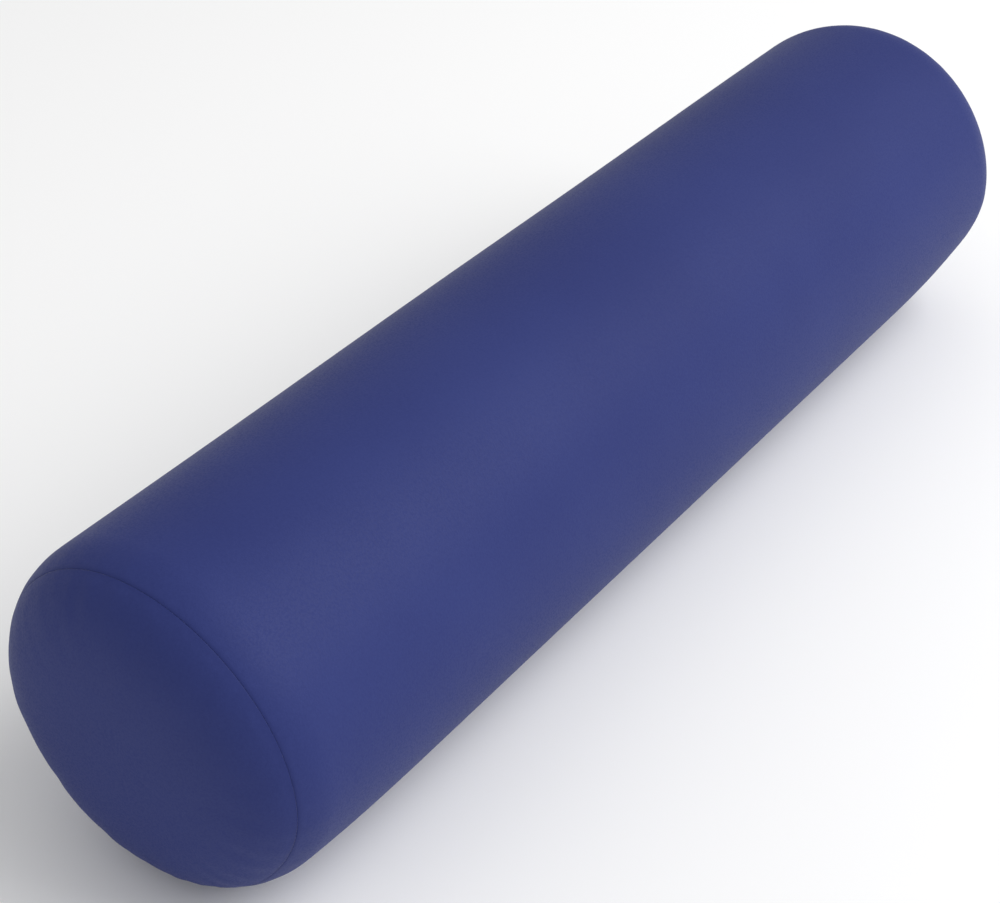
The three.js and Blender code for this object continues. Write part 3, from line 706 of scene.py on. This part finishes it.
def inflated():
    """Heights of the simulated skin over the plain one, for each line and each column."""
    start = skin_point(skin_arc)
    outwards = np.cross(np.roll(start, -1, 1) - np.roll(start, 1, 1), np.gradient(start, axis=0))
    outwards /= np.maximum(np.linalg.norm(outwards, axis=-1, keepdims=True), 1e-12)
    outwards *= np.sign(np.sum(outwards * (start - [0, 0, AXIS_HEIGHT]), -1, keepdims=True))
    seed_of_folds = waves(start[..., 0], skin_turn[None], 0.05 * MM, 50, 0.02, 7, count=40)
    rippled = start + outwards * seed_of_folds[..., None]
    rippled[[0, -1]] = start[[0, -1]]
    points, faces = closed_by_poles(rippled)
    skin = new_piece("skin", points, faces, [])
    rows, columns = start.shape[:2]
    index = np.arange(rows * columns).reshape(rows, columns)
    kept = np.concatenate([index[0, :1], index[1:-1].ravel(), index[-1, :1]])

    from_end = np.minimum(skin_arc, skin_length - skin_arc)[:, None]
    from_zip = np.minimum(skin_turn, 2 * math.pi - skin_turn)[None]
    down = (AXIS_HEIGHT - start[..., 2]) / RADIUS
    on_seam = smooth_step(4 * MM, 1 * MM, np.abs(from_end - SEAM_ARC))
    on_zip = smooth_step(math.radians(20), math.radians(11), from_zip) * (from_end > SEAM_ARC)
    on_floor = smooth_step(0.92, 0.985, down) * smooth_step(SEAM_ARC, ARC_TABLE[-1], from_end)
    held = np.maximum(np.maximum(on_seam, on_zip), on_floor)
    vertex_group(skin, "held", held.ravel()[kept])

    filling = skin.modifiers.new("filling", "CLOTH")
    filling.collision_settings.use_collision = False
    cloth = filling.settings
    cloth.quality = 5
    cloth.mass = 0.25
    cloth.tension_stiffness = SKIN_STIFFNESS
    cloth.compression_stiffness = SKIN_STIFFNESS
    cloth.shear_stiffness = 10
    cloth.bending_stiffness = 0.5
    cloth.use_pressure = True
    cloth.uniform_pressure_force = SKIN_PRESSURE
    cloth.effector_weights.gravity = 0
    cloth.vertex_group_mass = "held"
    for frame_number in range(1, SKIN_FRAMES + 1):
        scene.frame_set(frame_number)
    shown = skin.evaluated_get(bpy.context.evaluated_depsgraph_get()).data
    moved = np.empty(len(shown.vertices) * 3, np.float32)
    shown.vertices.foreach_get("co", moved)
    scene.frame_set(1)
    data = skin.data
    bpy.data.objects.remove(skin)
    bpy.data.meshes.remove(data)

    after = start.reshape(-1, 3).copy()
    after[kept] = moved.reshape(-1, 3)
    height = np.sum((after.reshape(start.shape) - start) * outwards, -1)
    height[[0, -1]] = 0
    free = 1 - held
    mean = np.sum(height * free, 1, keepdims=True) / np.maximum(np.sum(free, 1, keepdims=True), 1e-6)
    print(f"skin moved {height.min() / MM:.2f} to {height.max() / MM:.2f} mm")
    height = (height - mean) * free * TIGHTNESS
    height = (np.roll(height, 1, 1) + 2 * height + np.roll(height, -1, 1)) / 4
    return np.clip(height, LOWEST, HIGHEST)


skin_height = inflated()


def swelling(arc, turn):
    """The skin's height at distances from the left tip and turns: the four nearest simulated
    heights, each weighted by how near it is."""
    arc, turn = np.broadcast_arrays(arc, turn)
    row = np.interp(arc, skin_arc, np.arange(len(skin_arc)))
    column = turn / (2 * math.pi) * SKIN_COLUMNS
    first_row = np.clip(np.floor(row).astype(int), 0, len(skin_arc) - 2)
    first_column = np.floor(column).astype(int)
    down_share, side_share = row - first_row, column - first_column
    near, far = first_column % SKIN_COLUMNS, (first_column + 1) % SKIN_COLUMNS
    upper = skin_height[first_row, near] * (1 - side_share) + skin_height[first_row, far] * side_share
    lower = skin_height[first_row + 1, near] * (1 - side_share) + skin_height[first_row + 1, far] * side_share
    return upper * (1 - down_share) + lower * down_share


# %% [markdown]
# The body panel runs from the left end seam to the right one, and from the upper edge of the zip
# round the roll to the lower one. Its lines lie close together at the folds, at the window of the
# zip and at the topstitching, and further apart where it is plain.

# %% Lines of the body panel
ZIP_WINDOW_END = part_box("zip_bartack_right")[0].x - 0.3 * MM
HALF_WINDOW = 5 * MM
WINDOW_TAPER = 2 * MM
STITCH_TURN = math.radians(7.5)
STITCH_ACROSS = STITCH_TURN * RADIUS
CHANNEL_DEPTH, CHANNEL_WIDTH = 0.42 * MM, 0.75 * MM  # the dip that the topstitching pulls in
HEM_REACH = 15 * MM

near_zip = np.concatenate([
    FOLD_STEPS, np.array([1.6, 2.6, 3.6, 4.4, 5.2, 6, 7, 8, 8.7, 9.1, 9.45, 9.8, 10.15, 10.5, 10.9,
                          11.6, 12.6, 13.6, 14.3, 15.0, 15.7, 17, 19]) * MM])
around = 2 * math.pi * RADIUS
across = np.concatenate([near_zip, spaced(near_zip[-1], around - near_zip[-1], 2.5 * MM),
                         around - near_zip[::-1]])

shoulder_arc = ARC_TABLE[-1] - SEAM_ARC - HALF_SEAM
shoulder = np.concatenate([FOLD_STEPS, spaced(FOLD_ROUND, ALLOWANCE, 1.2 * MM), [ALLOWANCE],
                           spaced(ALLOWANCE, shoulder_arc, 1.8 * MM)])
window_ends = ZIP_WINDOW_END + np.array([-6, -4, -2.8, -2.2, -1.8, -1.4, -1, -0.6, -0.2, 0.2, 1, 2]) * MM
straight = np.concatenate([
    [STRAIGHT_START], spaced(window_ends[-1], STRAIGHT_START, 3.5 * MM)[::-1], window_ends[::-1],
    spaced(-window_ends[0], window_ends[0], 4.5 * MM)[::-1], -window_ends,
    spaced(-STRAIGHT_START, -window_ends[-1], 3.5 * MM)[::-1], [-STRAIGHT_START]])[::-1]
print("body panel:", len(across), "lines round,", 2 * len(shoulder) + len(straight), "along")


def body_line(depth):
    """Distance along the roll and radius of the body panel at each of its lines, at a depth (a
    grid whose columns are the lines): the outline of each end, and a straight run between."""
    turns = turn_at(SEAM_ARC + HALF_SEAM + shoulder)
    count = len(shoulder)
    along_left, radius_left = end_outline(turns, depth[:, :count])
    along_right, radius_right = end_outline(turns[::-1], depth[:, -count:])
    x = np.concatenate([along_left - LENGTH / 2, np.broadcast_to(straight, (len(depth), len(straight))),
                        LENGTH / 2 - along_right], 1)
    radius = np.concatenate([radius_left, RADIUS - depth[:, count:-count], radius_right], 1)
    return x, radius


# %% [markdown]
# Along the zip the two folds stand apart and leave a window for the slider, and past its ends they
# close up. The hems lie under the panel on both sides of the zip, and the seam allowances at the
# ends, so the sheet is twice as thick there. The height of the simulated skin is added outside.

# %% The body panel
flat_x = body_line(np.zeros((1, len(shoulder) * 2 + len(straight))))[0][0]
window_share = smooth_step(ZIP_WINDOW_END, ZIP_WINDOW_END - WINDOW_TAPER, np.abs(flat_x))
half_gap = HALF_SEAM + (HALF_WINDOW - HALF_SEAM) * window_share

PINCHED = 8 * MM  # within this distance of the zip's middle, the lines crowd up as the window opens
from_zip = np.minimum(across, around - across)[:, None]
crowded = np.where(from_zip < PINCHED, from_zip + half_gap * (1 - from_zip / PINCHED), from_zip)
turn_round = np.where((across < around / 2)[:, None], crowded, around - crowded) / RADIUS

from_zip_fold = np.where(from_zip < PINCHED, from_zip * (1 - half_gap / PINCHED), from_zip - half_gap)
from_seam_fold = np.concatenate([shoulder, np.full(len(straight), 1.0), shoulder[::-1]])[None]
from_seam_fold = np.broadcast_to(from_seam_fold, turn_round.shape)
full = fullness(from_zip_fold) * fullness(from_seam_fold)

hem = smooth_step(HEM_REACH + 0.8 * MM, HEM_REACH - 0.4 * MM, crowded)
hem = hem * smooth_step(STRAIGHT_START - 0.5 * MM, STRAIGHT_START - 4 * MM, np.abs(flat_x))
plies = 1 + np.maximum(hem, allowance_share(from_seam_fold))
channel = CHANNEL_DEPTH * np.exp(-(((crowded - STITCH_ACROSS) / CHANNEL_WIDTH) ** 2))
channel = channel * smooth_step(STITCH_END + 1.5 * MM, STITCH_END - 1 * MM, np.abs(flat_x))
panel_arcs = np.concatenate([
    SEAM_ARC + HALF_SEAM + shoulder, ARC_TABLE[-1] + straight + STRAIGHT_START,
    skin_length - SEAM_ARC - HALF_SEAM - shoulder[::-1]])
gathers = np.where(flat_x < 0, puckers(turn_round, from_seam_fold, *GATHERING[-1]),
                   puckers(turn_round, from_seam_fold, *GATHERING[1]))
gathers = gathers * np.clip(from_zip / (20 * MM), 0, 1)
raised = swelling(panel_arcs[None], turn_round) * full + gathers

drop = SEAM_DROP + (PLY - SEAM_DROP) * window_share
outer_depth = drop * (1 - full) + channel * full - raised
inner_depth = plies * PLY * full + drop * (1 - full)
outer_grid = settled(round_the_axis(*body_line(outer_depth), turn_round))
inner_grid = settled(round_the_axis(*body_line(inner_depth), turn_round))


# Painted shade in the seam grooves: how strong it is, and how far from the folded edge it reaches.
SEAM_SHADE_AMOUNT, SEAM_SHADE_WIDTH = 0.4, 1.2 * MM
# Where the fold stands proud the colour is painted paler: partly wear, partly a painted sheen.
CREST_AT, CREST_WIDTH = 3 * MM, 1.6 * MM


def seam_place(distance):
    """How much painted shade a point gets by lying in a fold, and how near it is to where the fold
    stands proud, where the colour is painted paler as wear and a painted sheen: two bell curves
    over the distance from the folded edge."""
    painted_shade = SEAM_SHADE_AMOUNT * np.exp(-((distance / SEAM_SHADE_WIDTH) ** 2))
    crest = np.exp(-(((distance - CREST_AT) / CREST_WIDTH) ** 2))
    return np.stack([painted_shade, crest, np.zeros_like(painted_shade)], -1)


points, faces, outer_count = closed_sheet(outer_grid, inner_grid)
nearest_fold = np.minimum(from_zip_fold, from_seam_fold)
marks = np.concatenate([seam_place(nearest_fold).reshape(-1, 3)] * 2)
cover = new_piece("cover", points, faces, [leatherette, backing],
                  extra={"seam_place": marks}, inner_from=outer_count)
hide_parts("cover_body")

# %% [markdown]
# ## The end panels
# A round panel, drawn tight over the end pad. It is nearly flat, crowns a little in the middle,
# and its folded edge stands against the body's. Its rings follow the same outline. The outside
# and the inside of the sheet are one grid from pole to pole, over the fold.

# %% End panels
FINE_RIM = 16 * MM  # the rings lie closer together this near to the fold
panel_arc = SEAM_ARC - HALF_SEAM
panel_distances = np.concatenate([
    FOLD_STEPS, spaced(FOLD_ROUND, FINE_RIM, 1.1 * MM), [FINE_RIM],
    spaced(FINE_RIM, panel_arc, 2.6 * MM), [panel_arc]])
PANEL_COLUMNS = 224


def end_rings(distances, depth, side, turn):
    """Rings of an end at distances from its seam's fold, at depths: the outline turned round the
    axis, on the left (-1) or the right (+1)."""
    along, radius = end_outline(turn_at(panel_arc - distances)[:, None], depth)
    return round_the_axis(side * (LENGTH / 2 - along), np.maximum(radius, 0), turn)


panel_turn = np.linspace(0, 2 * math.pi, PANEL_COLUMNS, endpoint=False)[None, :]
for side, name in ENDS:
    distance = panel_distances[:, None] + 0 * panel_turn
    full = fullness(distance)
    arc = panel_arc - distance
    height = swelling(arc if side < 0 else skin_length - arc, panel_turn) * full
    outer_depth = SEAM_DROP * (1 - full) - height - puckers(panel_turn, distance, *GATHERING[side])
    plies = 1 + allowance_share(distance)
    inner_depth = plies * PLY * full + SEAM_DROP * (1 - full)
    outside = end_rings(panel_distances, outer_depth, side, panel_turn)
    inside = end_rings(panel_distances, inner_depth, side, panel_turn)
    for grid in (outside, inside):
        grid[-1] = grid[-1].mean(0)
    sheet = settled(np.concatenate([outside[::-1], inside[1:]]))
    mark = seam_place(distance)
    points, faces = closed_by_poles(sheet)
    panel = new_piece(f"end_panel_{name}_sewn", points, faces, [leatherette],
                      extra={"seam_place": np.concatenate([mark[::-1], mark[1:]])})
    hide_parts(f"end_panel_{name}")

# %% [markdown]
# ## The filling
# Foam first: a cut cylinder, whose edges the wadding rounds off. Its profile is a straight end, a
# quarter circle and a straight side, mirrored, and turned round the axis from pole to pole.

# %% Turned profiles
ROUND_COLUMNS = 128
columns_turn = np.linspace(0, 2 * math.pi, ROUND_COLUMNS, endpoint=False)[None, :]


def turned(profile):
    """Each point of a profile (x, radius) as a ring of points round the roll's axis."""
    x, radius = np.asarray(profile).T
    return round_the_axis(x[:, None], radius[:, None], columns_turn)


def soft_filling(name, node, points, faces, material):
    """A padded piece in place of a CAD node, with one material."""
    filling = new_piece(name, points, faces, [material])
    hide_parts(node)


# %% Foam core
foam_low, foam_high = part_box("foam_core")
FOAM_RADIUS = (foam_high.y - foam_low.y) / 2
FOAM_EDGE = 6 * MM
FIT_GAP = 0.3 * MM
edge_turn = np.linspace(0, math.pi / 2, 9)
foam_side = np.stack([foam_low.x + FOAM_EDGE * (1 - np.cos(edge_turn)),
                      FOAM_RADIUS - FOAM_EDGE * (1 - np.sin(edge_turn))], 1)
flat_end = [(foam_low.x, radius) for radius in np.linspace(0, foam_side[0, 1], 14)[:-1]]
half_foam = np.concatenate([flat_end, foam_side, [(x, FOAM_RADIUS) for x in
                            spaced(foam_side[-1, 0], 0, 8 * MM)]])
points, faces = closed_by_poles(settled(turned(
    np.concatenate([half_foam, half_foam[::-1] * (-1, 1)]))))
soft_filling("foam_cylinder", "foam_core", points, faces, foam_finish)

# %% [markdown]
# A sheet of wadding is rolled once round the foam. It is pressed down under the hems and the
# tapes of the zip, and a little further under the run of the slider.

# %% Wadding sleeve
SLEEVE_END = STRAIGHT_START - FIT_GAP
LINING_RADIUS = FOAM_RADIUS + FIT_GAP
SLEEVE_RADIUS = RADIUS - PLY - FIT_GAP
PRESSED_BY_HEM = 2.2 * MM
PRESSED_BY_SLIDER = 1.7 * MM
SLEEVE_ROUND = 1.5 * MM

sleeve_near = np.linspace(0, 20, 24) * MM
sleeve_across = np.concatenate([sleeve_near, spaced(20 * MM, around - 20 * MM, 3 * MM),
                                around - sleeve_near[:0:-1]])
sleeve_turn = sleeve_across[None] / RADIUS
sleeve_from_zip = np.minimum(sleeve_across, around - sleeve_across)[None]
sleeve_tail = np.linspace(-SLEEVE_END + SLEEVE_ROUND, -ZIP_WINDOW_END, 9)[:-1]
sleeve_x = np.concatenate([sleeve_tail, np.linspace(-ZIP_WINDOW_END, ZIP_WINDOW_END, 121),
                           -sleeve_tail[::-1]])[:, None]


def sleeve_outside(x):
    """Its radius: the plain one, less a step under the hems and another under the slider."""
    hem = smooth_step(18.5 * MM, 16.3 * MM, sleeve_from_zip)
    slider = smooth_step(7.4 * MM, 5.6 * MM, sleeve_from_zip)
    slider = slider * smooth_step(ZIP_WINDOW_END + 1 * MM, ZIP_WINDOW_END - 2 * MM, np.abs(x))
    return SLEEVE_RADIUS - PRESSED_BY_HEM * hem - PRESSED_BY_SLIDER * slider


edge_turn = np.linspace(0, math.pi / 2, 5)[:, None]
outward, inward = SLEEVE_ROUND * (1 - np.sin(edge_turn)), SLEEVE_ROUND * (1 - np.cos(edge_turn))
rim_x = SLEEVE_END - np.concatenate([outward, outward[::-1]])
rim_radius = np.concatenate([sleeve_outside(SLEEVE_END) - inward,
                             LINING_RADIUS + inward[::-1] + 0 * sleeve_turn])
lining = LINING_RADIUS + 0 * sleeve_x[::-4] + 0 * sleeve_turn
sleeve = round_the_axis(
    np.concatenate([sleeve_x, rim_x, sleeve_x[::-4][1:-1], -rim_x[::-1]]),
    np.concatenate([sleeve_outside(sleeve_x), rim_radius, lining[1:-1], rim_radius[::-1]]),
    sleeve_turn)
sleeve_index = np.arange(sleeve.shape[0] * sleeve.shape[1]).reshape(sleeve.shape[:2])
soft_filling("wadding_wrap", "wadding_sleeve", settled(sleeve).reshape(-1, 3),
             [grid_faces(sleeve_index, wrap_rows=True, wrap_columns=True)], wadding_finish)

# %% [markdown]
# A cup of wadding goes over each end of the foam. Outside it follows the end outline under the
# cover's plies, inside it follows the foam's rounded edge.

# %% Wadding pads
pad_arc = np.concatenate([np.linspace(0, SEAM_ARC, 34), spaced(SEAM_ARC, ARC_TABLE[-1], 1.6 * MM),
                          [ARC_TABLE[-1]]])
allowance_end = SEAM_ARC + ALLOWANCE + 1.8 * MM
pad_depth = PLY + FIT_GAP + PLY * smooth_step(allowance_end + 1 * MM, allowance_end, pad_arc)
pad_outside = np.stack(end_outline(turn_at(pad_arc), pad_depth), 1)
rim = [(pad_outside[-1, 0], radius) for radius in np.linspace(pad_outside[-1, 1], LINING_RADIUS, 6)]
edge_turn = np.linspace(math.pi / 2, 0, 9)
foam_edge_x = LENGTH / 2 + foam_low.x + FOAM_EDGE
pad_corner = np.stack([foam_edge_x - (FOAM_EDGE + FIT_GAP) * np.cos(edge_turn),
                       FOAM_RADIUS - FOAM_EDGE + (FOAM_EDGE + FIT_GAP) * np.sin(edge_turn)], 1)
pad_floor = [(pad_corner[-1, 0], radius) for radius in np.linspace(pad_corner[-1, 1], 0, 14)[1:]]
pad_profile = np.concatenate([pad_outside, rim[1:], pad_corner, pad_floor])
pad_profile[0, 1] = 0
for side, name in ENDS:
    points, faces = closed_by_poles(settled(turned(
        [(side * (LENGTH / 2 - along), radius) for along, radius in pad_profile])))
    soft_filling(f"end_wadding_{name}", f"wadding_pad_{name}", points, faces, wadding_finish)

# %% [markdown]
# ## The stitching
# Where a seam is pulled open by the filling, the thread shows as short bars across the groove.
# Each bar dips into the fold on both sides. Along the zip the topstitching lies on top, one
# stitch after another, each end pulled down into its needle hole.

# %% Stitches across a seam
STITCH_PITCH = 2.8 * MM
BAR_REACH = 0.7 * MM
BAR_SLANT = 0.35 * MM
BAR_DEPTH = 0.38 * MM
BAR_DIP = 0.3 * MM
bar_share = np.linspace(-1, 1, 5)[None, :]
bar_depth = BAR_DEPTH + BAR_DIP * bar_share**2


def sewn(name, node, path, reference, radius):
    """Tubes of thread along paths, each thinned at its two ends, standing for a CAD node."""
    stations = path.shape[1]
    widths = np.full(stations, radius)
    widths[[0, -1]] *= 0.6
    points, faces, run = tubes(path, widths, reference)
    threads = new_piece(name, points, faces, [thread_finish], extra={"run": run})
    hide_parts(node)


def from_axis(points):
    """The direction straight out from the roll's axis at each point."""
    out = points - np.array([0, 0, AXIS_HEIGHT])
    out[..., 0] = 0
    return out


BARS_ROUND = 158  # about STITCH_PITCH apart round the end seam
bar_turn = np.linspace(0, 2 * math.pi, BARS_ROUND, endpoint=False)[:, None]
for side, name in ENDS:
    along, radius = end_outline(turn_at(SEAM_ARC + BAR_REACH * bar_share), bar_depth)
    bars = settled(round_the_axis(side * (LENGTH / 2 - along), radius,
                                  bar_turn + BAR_SLANT * bar_share / radius))
    sewn(f"end_seam_stitches_{name}", f"end_seam_thread_{name}", bars, from_axis(bars), THREAD / 2)

# %% Stitches of the closing seam
closing_arc = np.arange(SEAM_ARC + 2.5 * MM, ARC_TABLE[-1] + STRAIGHT_START - ZIP_WINDOW_END - 1.5 * MM,
                        STITCH_PITCH)[:, None] + BAR_SLANT * bar_share
for side, name in ENDS:
    along, radius = end_outline(turn_at(closing_arc), bar_depth)
    beyond = np.maximum(closing_arc - ARC_TABLE[-1], 0)
    bars = round_the_axis(side * (LENGTH / 2 - along - beyond), radius, BAR_REACH * bar_share / radius)
    sewn(f"closing_stitches_{name}", f"closing_seam_thread_{name}", bars, from_axis(bars), THREAD / 2)

# %% Topstitching
TOPSTITCH_PITCH = 3.3 * MM
TOPSTITCH_SHOWN = 2.7 * MM
TOPSTITCH_DEPTH, NEEDLE_HOLE = 0.22 * MM, 0.75 * MM
share = np.linspace(-1, 1, 9)[None, :]
middles = np.arange(-STITCH_END + TOPSTITCH_PITCH / 2, STITCH_END, TOPSTITCH_PITCH)[:, None]
for side, name in ROWS:
    drawn_down = TOPSTITCH_DEPTH + NEEDLE_HOLE * share**6
    wander = waves(middles, 0, 0.05 * MM, 1, 0.02, 40 + side)
    run_of_stitches = round_the_axis(middles + TOPSTITCH_SHOWN / 2 * share, RADIUS - drawn_down,
                                     side * STITCH_TURN + wander / RADIUS)
    sewn(f"topstitching_{name}", f"zip_topstitch_{name}", run_of_stitches,
         from_axis(run_of_stitches), THREAD / 2)

# %% [markdown]
# A bartack closes each end of the zip's opening: one thread going back and forth so closely that
# it makes a solid block. Its path is a triangle wave along the roll while it moves on across it.

# %% Bartacks
TACK_REACH = 7 * MM
TACK_TURNS = 30
TACK_RISE, TACK_DIP = 0.45 * MM, 0.3 * MM
tack_low, tack_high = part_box("zip_bartack_right")
tack_share = np.linspace(0, 1, TACK_TURNS * 8 + 1)[None, :]
swing = 2 / math.pi * np.arcsin(np.sin(2 * math.pi * TACK_TURNS * tack_share))
for side, name in ENDS:
    tack_x = side * (tack_low.x + tack_high.x) / 2 + swing * ((tack_high.x - tack_low.x) / 2 - THREAD / 2)
    tack_radius = RADIUS + TACK_RISE - TACK_DIP * np.abs(swing) ** 5
    tack = round_the_axis(tack_x, tack_radius, TACK_REACH * (2 * tack_share - 1) / RADIUS)
    sewn(f"bartack_{name}", f"zip_bartack_{name}", tack, from_axis(tack), THREAD / 2)

# %% [markdown]
# ## The zip
# Two woven tapes lie under the hems. Each is a thin closed sheet with a rounded rim, and keeps
# the places along and across it that its weave is drawn from.

# %% Tapes
TAPE_EDGE, TAPE_REACH = 0.25 * MM, 13.5 * MM
TAPE_HALF = 0.35 * MM
TAPE_MIDDLE = RADIUS - 2 * PLY - FIT_GAP - TAPE_HALF
tape_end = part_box("zip_tape_upper")[1].x
tape_rim = TAPE_HALF * (1 - np.cos(np.linspace(0, math.pi / 2, 4)))
tape_x = np.concatenate([tape_rim - tape_end, spaced(-tape_end, tape_end, 4 * MM), tape_end - tape_rim[::-1]])
tape_u = np.concatenate([TAPE_EDGE + tape_rim, spaced(TAPE_EDGE + TAPE_HALF, TAPE_REACH - TAPE_HALF, 1 * MM),
                         TAPE_REACH - tape_rim[::-1]])[:, None]
from_rim = np.minimum(np.minimum(tape_u - TAPE_EDGE, TAPE_REACH - tape_u), tape_end - np.abs(tape_x))
swell = TAPE_HALF * np.sqrt(1 - (1 - np.clip(from_rim / TAPE_HALF, 0, 1)) ** 2)
tape_run = np.stack(np.broadcast_arrays(tape_x, tape_u, 0.0), -1).reshape(-1, 3)
for side, name in ROWS:
    turn = side * tape_u / TAPE_MIDDLE
    points, faces, _ = closed_sheet(round_the_axis(tape_x, TAPE_MIDDLE + swell, turn),
                                    round_the_axis(tape_x, TAPE_MIDDLE - swell, turn))
    tape = new_piece(f"tape_{name}", points, faces, [tape_finish],
                     extra={"run": np.concatenate([tape_run] * 2)})
    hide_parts(f"zip_tape_{name}")

# %% [markdown]
# Each tape carries a coil: one nylon wire bent round and round into a flat spiral, whose outer
# bends hook between those of its twin. The two rows are half a pitch apart for that.

# %% Coils
COIL_PITCH = 1.5 * MM
WIRE_RADIUS = 0.36 * MM
COIL_FOOT = TAPE_MIDDLE + TAPE_HALF + FIT_GAP
COIL_HEIGHT = 2 * MM
COIL_HEAD, COIL_HEEL = -0.35 * MM, 3.1 * MM
STEPS_A_TURN = 10
coil_turns = int(2 * COIL_END / COIL_PITCH) - 1
bend = np.arange(coil_turns * STEPS_A_TURN + 1)[None, :] * 2 * math.pi / STEPS_A_TURN


def squared(wave):
    """A sine or cosine pushed towards a square wave, which flattens a circle's sides."""
    return np.sign(wave) * np.abs(wave) ** 0.75


for side, name in ROWS:
    across_zip = side * ((COIL_HEAD + COIL_HEEL) / 2
                         + ((COIL_HEEL - COIL_HEAD) / 2 - WIRE_RADIUS) * squared(np.cos(bend)))
    height = COIL_FOOT + COIL_HEIGHT / 2 + (COIL_HEIGHT / 2 - WIRE_RADIUS) * squared(np.sin(bend))
    start = -COIL_END + COIL_PITCH * (0.5 if side < 0 else 1.0)
    wire = round_the_axis(start + COIL_PITCH * bend / (2 * math.pi), np.hypot(height, across_zip),
                          np.arctan2(across_zip, height))
    outwards = (round_the_axis(0, 1, 0) - [0, 0, AXIS_HEIGHT]) * np.sin(bend)[..., None]
    sideways = (round_the_axis(0, 1, math.pi / 2) - [0, 0, AXIS_HEIGHT]) * np.cos(bend)[..., None]
    points, faces, _ = tubes(wire, np.full(wire.shape[1], WIRE_RADIUS), outwards + side * sideways, sides=5)
    coil = new_piece(f"coil_{name}", points, faces, [coil_finish])
    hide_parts(f"zip_coil_{name}")

# %% [markdown]
# The metal pieces are cast or pressed. Their shapes are right in the CAD model, and only their
# edges are too sharp. A merged copy of each gets rounded rims from a Bevel modifier.

# %% Metal pieces
MERGE_DISTANCE = 0.002 * MM


def with_rounded_rims(name, node, body, rim):
    """A copy of a CAD node with its flat faces merged and its edges rounded over."""
    metal = bpy.data.objects.new(name, frame["nodes"][node].data.copy())
    scene.collection.objects.link(metal)
    shape = bmesh.new()
    shape.from_mesh(metal.data)
    bmesh.ops.remove_doubles(shape, verts=shape.verts, dist=MERGE_DISTANCE)
    bmesh.ops.dissolve_limit(shape, angle_limit=math.radians(1), verts=shape.verts, edges=shape.edges)
    bmesh.ops.recalc_face_normals(shape, faces=shape.faces)
    shape.to_mesh(metal.data)
    shape.free()
    metal.data.materials.clear()
    metal.data.materials.append(metal_finish)
    metal.data.shade_smooth()
    bevel = metal.modifiers.new("rounded_rims", "BEVEL")
    bevel.width = rim
    bevel.segments = 3
    bevel.limit_method = "ANGLE"
    bevel.angle_limit = math.radians(30)
    bevel.harden_normals = True
    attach(metal, body)
    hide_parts(node)
    print(f"{name}: {len(metal.data.polygons)} faces before its rims")


for name, node, body, rim in (
    ("slider", "zip_slider", "slider", 0.25),
    ("pull", "zip_pull", "pull", 0.35),
    ("top_stop_upper", "zip_top_stop_upper", "roll", 0.4),
    ("top_stop_lower", "zip_top_stop_lower", "roll", 0.4),
    ("bottom_stop", "zip_bottom_stop", "roll", 0.4),
):
    with_rounded_rims(name, node, body, rim * MM)
